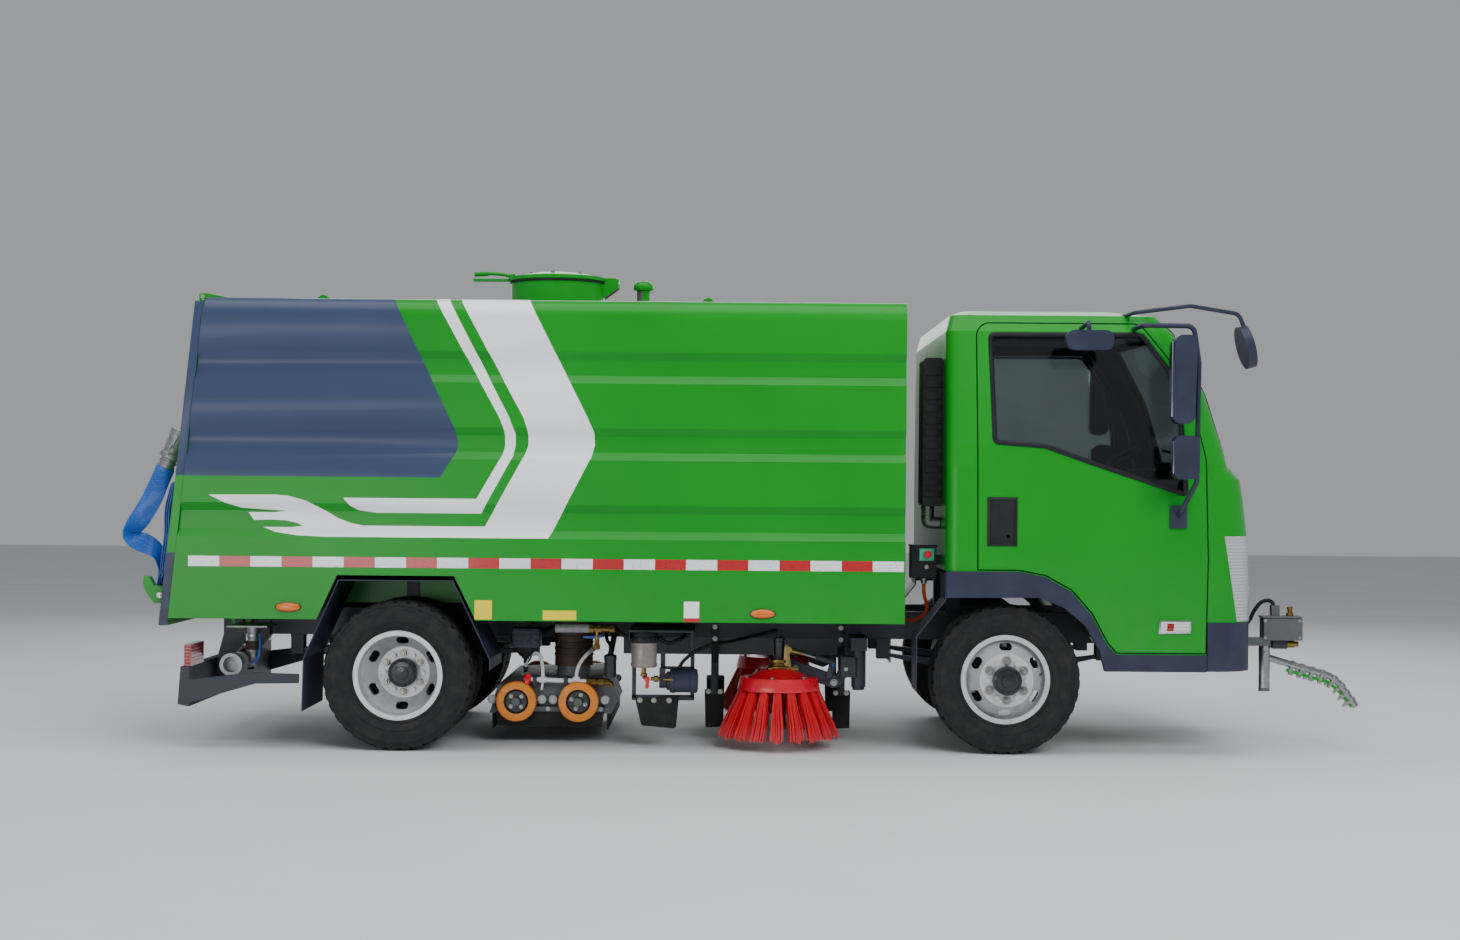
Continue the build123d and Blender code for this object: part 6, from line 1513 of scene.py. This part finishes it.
def cab_seats():
    """Two seats: padded cushion, back and head rest in ribbed cloth on a black pedestal."""
    x, z = 1.256, 0.938
    top = z + 0.700
    cushion = slab(
        [(x + 0.012, z + 0.098), (x + 0.490, z + 0.098), (x + 0.496, z + 0.178), (x + 0.420, z + 0.188),
         (x + 0.012, z + 0.172)],
        "Y", -0.228, 0.228, 0.025, 4,
    )
    back = slab(
        [(x - 0.140, top - 0.012), (x - 0.005, z + 0.140), (x + 0.085, z + 0.170), (x - 0.060, top - 0.012)],
        "Y", -0.218, 0.218, 0.022, 4,
    )
    head = slab(
        [(x - 0.150, top + 0.140), (x - 0.128, top + 0.012), (x - 0.072, top + 0.012),
         (x - 0.088, top + 0.148)],
        "Y", -0.118, 0.118, 0.018, 4,
    )
    blown_up(cushion, 0.022)
    sewn(cushion, UP, [(1, -0.135), (1, 0.135), (0, x + 0.330)])
    blown_up(back, 0.022)
    sewn(back, (1, 0, 0.4), [(1, -0.130), (1, 0.130), (2, z + 0.420)])
    blown_up(head, 0.015)
    posts = [
        tube([(x - 0.100, y, top - 0.030), (x - 0.108, y, top + 0.040)], 0.006, 10) for y in (-0.050, 0.050)
    ]
    base = slab(
        [(x + 0.050, z + 0.002), (x + 0.430, z + 0.002), (x + 0.450, z + 0.098), (x + 0.020, z + 0.098)],
        "Y", -0.190, 0.190, 0.010, 3,
    )
    shell = slab(
        [(x - 0.158, top - 0.010), (x - 0.020, z + 0.100), (x + 0.020, z + 0.100), (x - 0.100, top - 0.040),
         (x - 0.140, top + 0.004)],
        "Y", -0.205, 0.205, 0.008, 3,
    )
    patterns = {
        "seat_cushion": (cushion, SEAT_CLOTH),
        "seat_back": (back, SEAT_CLOTH),
        "head_rest": (head, SEAT_CLOTH),
        "seat_pedestal": (join([base, shell]), BLACK),
        "head_rest_posts": (join(posts), CHROME),
    }
    for side, word in SIDES:
        for name, (pattern, material) in patterns.items():
            place = Matrix.Translation((0, side * 0.430, 0))
            piece = finish(again(pattern, place), f"{name}_{word}", material, angle=60)
            if material is SEAT_CLOTH:
                rounder = piece.modifiers.new("rounder", "SUBSURF")
                rounder.levels = rounder.render_levels = 1
        outline = [(1.085, 1.780), (1.100, 1.790), (1.262, 1.020), (1.246, 1.015)]
        belt = slab(outline, "Y", side * 0.700, side * 0.702)
        finish(belt, "seat_belt_" + word, RUBBER, slot="seat_fabric")
    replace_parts(bpy.data.objects["seat_cushion_right"], "seats")
    discard(*(pattern for pattern, material in patterns.values()))


def cab_inside():
    """Roof lining, dashboard binnacle with its vents and screen, and the shift lever."""
    finish(block((1.130, -0.640, 2.088), (1.830, 0.640, 2.096), 0.003), "roof_lining", LINING)
    x = FRONT_AXLE_X
    outline = [(x + 0.830, 1.330), (x + 0.860, 1.410), (x + 1.010, 1.400), (x + 1.020, 1.380)]
    fittings = [slab(outline, "Y", 0.250, 0.620, 0.010, 3)]
    outline = [(x + 0.812, 1.210), (x + 0.800, 1.212), (x + 0.826, 1.322), (x + 0.838, 1.318)]
    fittings.append(slab(outline, "Y", -0.140, 0.140, 0.004))
    for y in (-0.70, -0.26, 0.70):
        fittings.append(block((x + 0.798, y - 0.055, 1.225), (x + 0.806, y + 0.055, 1.262), 0.003))
    outline = [(x + 0.806, 1.090), (x + 0.780, 1.100), (x + 0.780, 1.180), (x + 0.806, 1.190)]
    fittings.append(slab(outline, "Y", -0.620, -0.250, 0.006))
    finish(fittings, "dashboard_fittings", BLACK)
    stick = hose([(x + 0.560, 0.0, 0.775), (x + 0.600, 0.0, 1.000), (x + 0.590, 0.0, 1.050)], 0.010)
    shape = [(0.010, 0.0), (0.024, 0.010), (0.026, 0.030), (0.018, 0.045), (0.006, 0.048)]
    knob = turned(shape, (x + 0.590, 0.0, 1.040), UP, 24)
    shape = [(0.075, 0.0), (0.060, 0.010), (0.040, 0.040), (0.018, 0.075)]
    boot = turned(shape, (x + 0.560, 0.0, 0.768), UP, 24)
    finish([stick, knob, boot], "shift_lever", RUBBER, slot="black_plastic")


# Water and dirt body

HATCH_X = -0.999


def side_markers(side, word):
    base = [(0.062, -0.002), (0.064, 0.004), (0.060, 0.006)]
    dome = [(0.0590, 0.003), (0.0570, 0.010), (0.0440, 0.017), (0.0240, 0.020), (0.0030, 0.021)]
    for shape, name, material in ((base, "bases_", BLACK_ENAMEL), (dome, "lenses_", AMBER)):
        markers = []
        for x, z in ((-2.209, 0.694), (0.078, 0.680)):
            marker = turned(shape, ORIGIN, (0, side, 0), 40)
            place = Matrix.Translation((x, side * BODY_HALF_WIDTH, z))
            marker.data.transform(place @ Matrix.Diagonal((1, 1, 0.38, 1)))
            markers.append(marker)
        finish(markers, "side_marker_" + name + word, material, "hopper")


def stickers():
    """Blank stickers low on the body's right side."""
    skin = -BODY_HALF_WIDTH
    yellow = ((-1.311, -1.227, 0.642, 0.735), (-0.982, -0.820, 0.642, 0.688))
    for name, material, thick, plates in (
        ("yellow_stickers", YELLOW_FILM, 0.0012, yellow),
        ("white_sticker", WHITE_FILM, 0.0012, ((-0.302, -0.228, 0.656, 0.736),)),
        ("red_sticker_foot", RED_FILM, 0.0014, ((-0.302, -0.228, 0.638, 0.657),)),
    ):
        made = [block((x, skin, z), (end, skin - thick, top), 0.0003, 1) for x, end, z, top in plates]
        finish(made, name + "_right", material, "hopper")


def body_details():
    """Hatch lever and seal, lifting eyes, vent cap, side markers and blank stickers."""
    shape = [(0.2475, -0.010), (0.2530, -0.008), (0.2530, 0.0), (0.2475, 0.001)]
    finish(turned(shape, (HATCH_X, 0, 2.3592), UP, 72), "hatch_seal", SEAL, "hopper")
    lever = hose([(-1.240, 0, 2.392), (-1.330, 0, 2.404), (-1.420, 0, 2.402), (-1.438, 0, 2.400)], 0.009, 14)
    outline = [(-1.262, 2.376), (-1.222, 2.376), (-1.222, 2.404), (-1.246, 2.404)]
    yoke = slab(outline, "Y", -0.024, 0.024, 0.003)
    finish([lever, yoke], "hatch_lever", GREEN, "hatch")
    finish(tube([(-1.366, 0, 2.4045), (-1.441, 0, 2.401)], 0.013, 16), "hatch_lever_grip", GREEN, "hatch")
    turns = (0.4, 1.45, 2.5, 3.55, 4.6, 5.65)
    places = [(HATCH_X + 0.150 * math.cos(a), 0.150 * math.sin(a), 2.4010) for a in turns]
    finish(bolts(places, UP, 0.016, 0.008), "hatch_lid_bolts", ZINC, "hatch")
    cap = turned([
        (0.036, 2.318), (0.050, 2.322), (0.054, 2.332), (0.052, 2.350), (0.040, 2.364), (0.020, 2.371),
        (0.004, 2.372),
    ], (-0.550, 0, 0), UP, 40)
    finish(cap, "vent_cap", GREEN, "hopper")
    eyes = []
    for x in (-2.083, -0.198):
        for y in (-0.780, 0.780):
            outline = [
                (x - 0.040, 2.182), (x + 0.040, 2.182), (x + 0.030, 2.200), (x + 0.016, 2.213),
                (x - 0.016, 2.213), (x - 0.030, 2.200),
            ]
            eyes.append(slab(outline, "Y", y - 0.008, y + 0.008, 0.003))
            eyes.append(turned([(0.016, -0.010), (0.016, 0.010)], (x, y, 2.200), LEFT, 20))
    finish(eyes, "lifting_eyes", GREEN, "hopper")
    side_markers(-1, "right")
    stickers()
    side_markers(1, "left")


TAIL_HINGE_X = -2.669
GATE_HALF_WIDTH = 0.944


def gate_face(z):
    """The tailgate's outer face at a height."""
    return -2.789 + (z - 0.636) * 0.1036 - 0.042


def tail_details():
    """Edge seals and film, hinge caps and latch pins of the tailgate."""
    for side, word in SIDES:
        y = side * GATE_HALF_WIDTH
        for name, material, z, top, face, back, proud, bevel in (
            ("seal_", GREY_SEAL, 0.602, 0.952, -0.001, 0.041, 0.0035, 0.002),
            ("film_", SLATE, 1.326, 2.165, 0.001, 0.0405, 0.0020, 0.001),
        ):
            low, high = gate_face(z), gate_face(top)
            ring = [(low + face, z), (high + face, top), (high + back, top), (low + back, z)]
            strip = slab(ring, "Y", y - side * 0.002, y + side * proud, bevel)
            finish(strip, "tailgate_edge_" + name + word, material, "tail_gate")
        out = (0, side, 0)
        caps = bolts([(TAIL_HINGE_X, side * 0.8025, 2.200)], out, 0.022, 0.012)
        finish(caps, "tailgate_hinge_caps_" + word, ZINC, "tail_gate")
        pins = bolts([(gate_face(0.740) - 0.030, side * 0.8765, 0.742)], out, 0.018, 0.010)
        finish(pins, "latch_pins_" + word, ZINC, "tail_gate")


# Fill hose

HOSE_Y = -0.720
HOSE_HALF_WIDTH = 0.049
COUPLING_TOP = Vector((-2.792, HOSE_Y, 1.545))


def hose_route():
    """Knots of the flat hose: along, height and quarter turns of its flat towards the side.

    From the coupling's sleeve to the far fold, back, and round the bar in four hanging turns.
    """
    route = [
        (-2.912, 1.256, 1.0), (-2.938, 1.200, 0.98), (-2.986, 1.118, 0.85), (-3.024, 1.064, 0.5),
        (-3.041, 1.036, 0.28), (-3.024, 1.014, 0.5), (-2.976, 0.992, 0.8), (-2.928, 0.966, 0.55),
        (-2.896, 0.925, 0.2),
    ]
    for turn in (3, 2, 1, 0):
        out = 0.050 + 0.009 * turn
        near = 0.009 + 0.0055 * (3 - turn)
        low = 0.790 - 0.022 * turn
        middle = gate_face(low) - (out + near) / 2
        if turn < 3:
            route.append((gate_face(1.02) - out, 1.02, 0))
        route += [
            (gate_face(0.86) - out, 0.86, 0), (middle - 0.012, low, 0), (middle + 0.012, low, 0),
            (gate_face(0.86) - near, 0.86, 0), (gate_face(1.05) - near - 0.002, 1.05, 0),
            (gate_face(1.225) - near - 0.001, 1.225, 0), (-2.798, 1.2755 + 0.0060 * turn, 0),
            (gate_face(1.215) - out + 0.004, 1.215, 0),
        ]
    return route[:-1]


def fill_hose():
    """Blue lay-flat hose, 98 mm wide when empty, folded over the bar on the tailgate."""
    deselect()
    data = bpy.data.curves.new("fill_hose", "CURVE")
    data.dimensions = "3D"
    data.twist_mode = "MINIMUM"
    data.extrude = HOSE_HALF_WIDTH
    data.resolution_u = 10
    route = hose_route()
    spline = data.splines.new("BEZIER")
    spline.bezier_points.add(len(route) - 1)
    for knot, (x, z, turn) in zip(spline.bezier_points, route):
        knot.co = (x, z, 0)
        knot.tilt = turn * math.pi / 2
        knot.handle_left_type = knot.handle_right_type = "AUTO"
    hose = link(bpy.data.objects.new("fill_hose", data))
    hose.matrix_world = Matrix.Translation((0, HOSE_Y, 0)) @ spun(90, "X")
    take(hose)
    bpy.ops.object.convert(target="MESH")
    hose = bpy.context.object
    set_place(hose)
    wall = hose.modifiers.new("wall", "SOLIDIFY")
    wall.thickness = 0.0050
    wall.offset = 0.0
    round_off = hose.modifiers.new("edge", "BEVEL")
    round_off.width = 0.0020
    round_off.segments = 2
    round_off.limit_method = "ANGLE"
    round_off.angle_limit = math.radians(60)
    apply_all(hose)
    finish(hose, "fill_hose", CANVAS, "tail_gate", angle=50)
    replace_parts(hose, "hose_hank")
    down = Vector((-0.385, 0, -0.923))
    rings = [
        (0.0455, 0.196), (0.0470, 0.204), (0.0465, 0.235), (0.0470, 0.270), (0.0485, 0.300), (0.0495, 0.322),
    ]
    sleeve = turned(rings, COUPLING_TOP, down, 40)
    for point in sleeve.data.vertices:
        share = max(0.0, ((point.co - COUPLING_TOP).dot(down) - 0.204) / 0.118)
        point.co.y = HOSE_Y + (point.co.y - HOSE_Y) * (1 - 0.86 * share)
    finish(sleeve, "hose_tail_sleeve", CANVAS, "tail_gate", angle=50)


def coupling_details():
    """Rings, clamps and the cam levers' pull rings of the fill hose's coupling."""
    down = (Vector((-2.875, HOSE_Y, 1.346)) - COUPLING_TOP).normalized()
    parts = []
    for at, radius, width in (
        (0.010, 0.0505, 0.010), (0.034, 0.0465, 0.008), (0.070, 0.0455, 0.006), (0.095, 0.0455, 0.006),
        (0.135, 0.0535, 0.012),
    ):
        parts.append(band(radius - 0.002, radius, width, width * 0.7, COUPLING_TOP + down * at, down))
    for at in (0.168, 0.190):
        parts.append(band(0.0400, 0.0425, 0.007, 0.005, COUPLING_TOP + down * at, down, 40))
    finish(parts, "coupling_rings", CAST, "tail_gate")
    rings = []
    spot = COUPLING_TOP + down * 0.075
    for side in (-1, 1):
        y = HOSE_Y + side * 0.060
        bends = ((0, 0, 0), (-0.010, side * 0.014, -0.030), (-0.020, side * 0.004, -0.052))
        rings.append(hose([(spot.x + dx, y + dy, spot.z + dz) for dx, dy, dz in bends], 0.003, 8))
    finish(rings, "cam_lever_rings", ZINC, "tail_gate")


# Wash arm and rear gear

WASH_Y = -0.560
WASH_POST_X = 2.598


def wash_gear():
    """Valve box with gland, cable and screws; the arm's green bar and its silver nozzles."""
    finish(block((2.577, -0.607, 0.659), (2.775, -0.513, 0.669), 0.003), "valve_box_lid", GREY_PAINT)
    out = (0, -1, 0)
    places = [(x, -0.6055, z) for x in (2.590, 2.762) for z in (0.562, 0.646)]
    finish(bolts(places, out, 0.011, 0.005), "valve_box_screws", ZINC)
    shape = [(0.016, 0.0), (0.016, 0.012), (0.011, 0.014), (0.011, 0.026), (0.014, 0.027), (0.014, 0.040)]
    gland = turned(shape, (2.640, WASH_Y, 0.668), UP, 24)
    shape = [
        (0.018, 0.0), (0.018, 0.018), (0.012, 0.020), (0.012, 0.034), (0.016, 0.035), (0.016, 0.046),
        (0.010, 0.048),
    ]
    plug = turned(shape, (2.724, WASH_Y, 0.668), UP, 24)
    finish([gland, plug], "wash_brass_unions", BRASS, slot="steel")
    line = hose(
        [(2.640, WASH_Y, 0.706), (2.636, WASH_Y, 0.735), (2.596, -0.556, 0.742), (2.556, -0.540, 0.700),
         (2.530, -0.520, 0.640), (2.500, -0.500, 0.600)],
        0.010, 14,
    )
    finish(line, "wash_hose", RUBBER)
    finish(block((2.630, -0.596, 0.505), (2.706, -0.524, 0.550), 0.006), "wash_valve", BLACK_ENAMEL)
    shape = [(0.019, 0.0), (0.019, 0.040), (0.014, 0.042), (0.014, 0.060)]
    finish(turned(shape, (2.706, WASH_Y, 0.528), AHEAD, 24), "wash_valve_union", BRASS, slot="steel")
    x0 = WASH_POST_X
    route = [(0.119, 0.430), (0.328, 0.370), (0.377, 0.331), (0.459, 0.219)]
    under = [(x0 + x - 0.004, z - 0.024) for x, z in route[:3]] + [(x0 + 0.440, 0.226)]
    lower = [(x - 0.006, z - 0.016) for x, z in under]
    finish(slab(under + lower[::-1], "Y", -0.569, -0.551, 0.002), "wash_bar", GREEN, "spray_arm")
    tips, collars = [], []
    shape = [(0.012, 0.012), (0.012, 0.036), (0.008, 0.039), (0.008, 0.052), (0.002, 0.053)]
    for (x, z), (next_x, next_z), shares in zip(
        route, route[1:], ((0.10, 0.34, 0.58, 0.82), (0.45,), (0.12, 0.42, 0.72))
    ):
        run = Vector((next_x - x, 0, next_z - z)).normalized()
        across = Vector((run.z, 0, -run.x))
        for share in shares:
            spot = Vector((x0 + x + share * (next_x - x), WASH_Y, z + share * (next_z - z)))
            tips.append(turned(shape, spot, across, 16))
            collars.append(band(0.0200, 0.0215, 0.011, 0.009, spot, run, 24))
    finish(tips, "wash_nozzles", ZINC, "spray_arm")
    finish(collars, "wash_nozzle_clamps", ZINC, "spray_arm")
    pins = bolts([(x0, -0.588, z) for z in (0.446, 0.486)], out, 0.013, 0.006)
    finish(pins, "wash_post_bolts", ZINC, "spray_arm")


def rear_gear():
    """Clamps and sleeve on the fill pipe, the blue air line, lamp trims and bumper bolts."""
    low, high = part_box("water_inlet")
    x, z = low[0] + 0.060, low[2] + 0.055
    pipe_x, pipe_y = x + 0.060, -0.640
    rings = [
        band(0.0325, 0.0345, 0.008, 0.006, (pipe_x, pipe_y, level), UP, 36)
        for level in (z + 0.030, z + 0.128)
    ]
    finish(rings, "riser_clamps", ZINC)
    shape = [(0.0385, z + 0.058), (0.0405, z + 0.062), (0.0405, z + 0.096), (0.0385, z + 0.100)]
    finish(turned(shape, (pipe_x, pipe_y, 0), UP, 36), "riser_hose_sleeve", BROWN_RUBBER)
    line = hose(
        [(x + 0.105, -0.700, z + 0.140), (x + 0.104, -0.702, z + 0.060), (x + 0.090, -0.700, z + 0.010),
         (x + 0.060, -0.690, z - 0.004)],
        0.006, 10,
    )
    finish(line, "blue_air_line", BLUE_PLASTIC, slot="")
    low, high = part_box("tail_lamps")
    for side, word in SIDES:
        near, far = side * 0.730 - 0.165, side * 0.730 + 0.165
        trim = block((low[0] - 0.004, near, low[2] - 0.008), (low[0] + 0.006, far, low[2] + 0.002), 0.002)
        finish(trim, "tail_lamp_trim_" + word, BLACK)
    places = [(-2.752, y, 0.300) for y in (-0.62, -0.38, 0.38, 0.62)]
    finish(bolts(places, (-1, 0, 0), 0.024, 0.010), "rear_bumper_bolts", ZINC)


camera()
studio()
dress_nodes()
livery()
wheels()
brushes()
for flank in SIDES:
    brush_arm(*flank)
    brush_guards(*flank)
castor_wheels()
nozzle_gear()
duct_rings()
valve_run()
water_filter()
for flank in SIDES:
    door_fittings(*flank)
nose_trim()
cab_back_gear()
cab_seats()
cab_inside()
body_details()
tail_details()
fill_hose()
coupling_details()
wash_gear()
rear_gear()
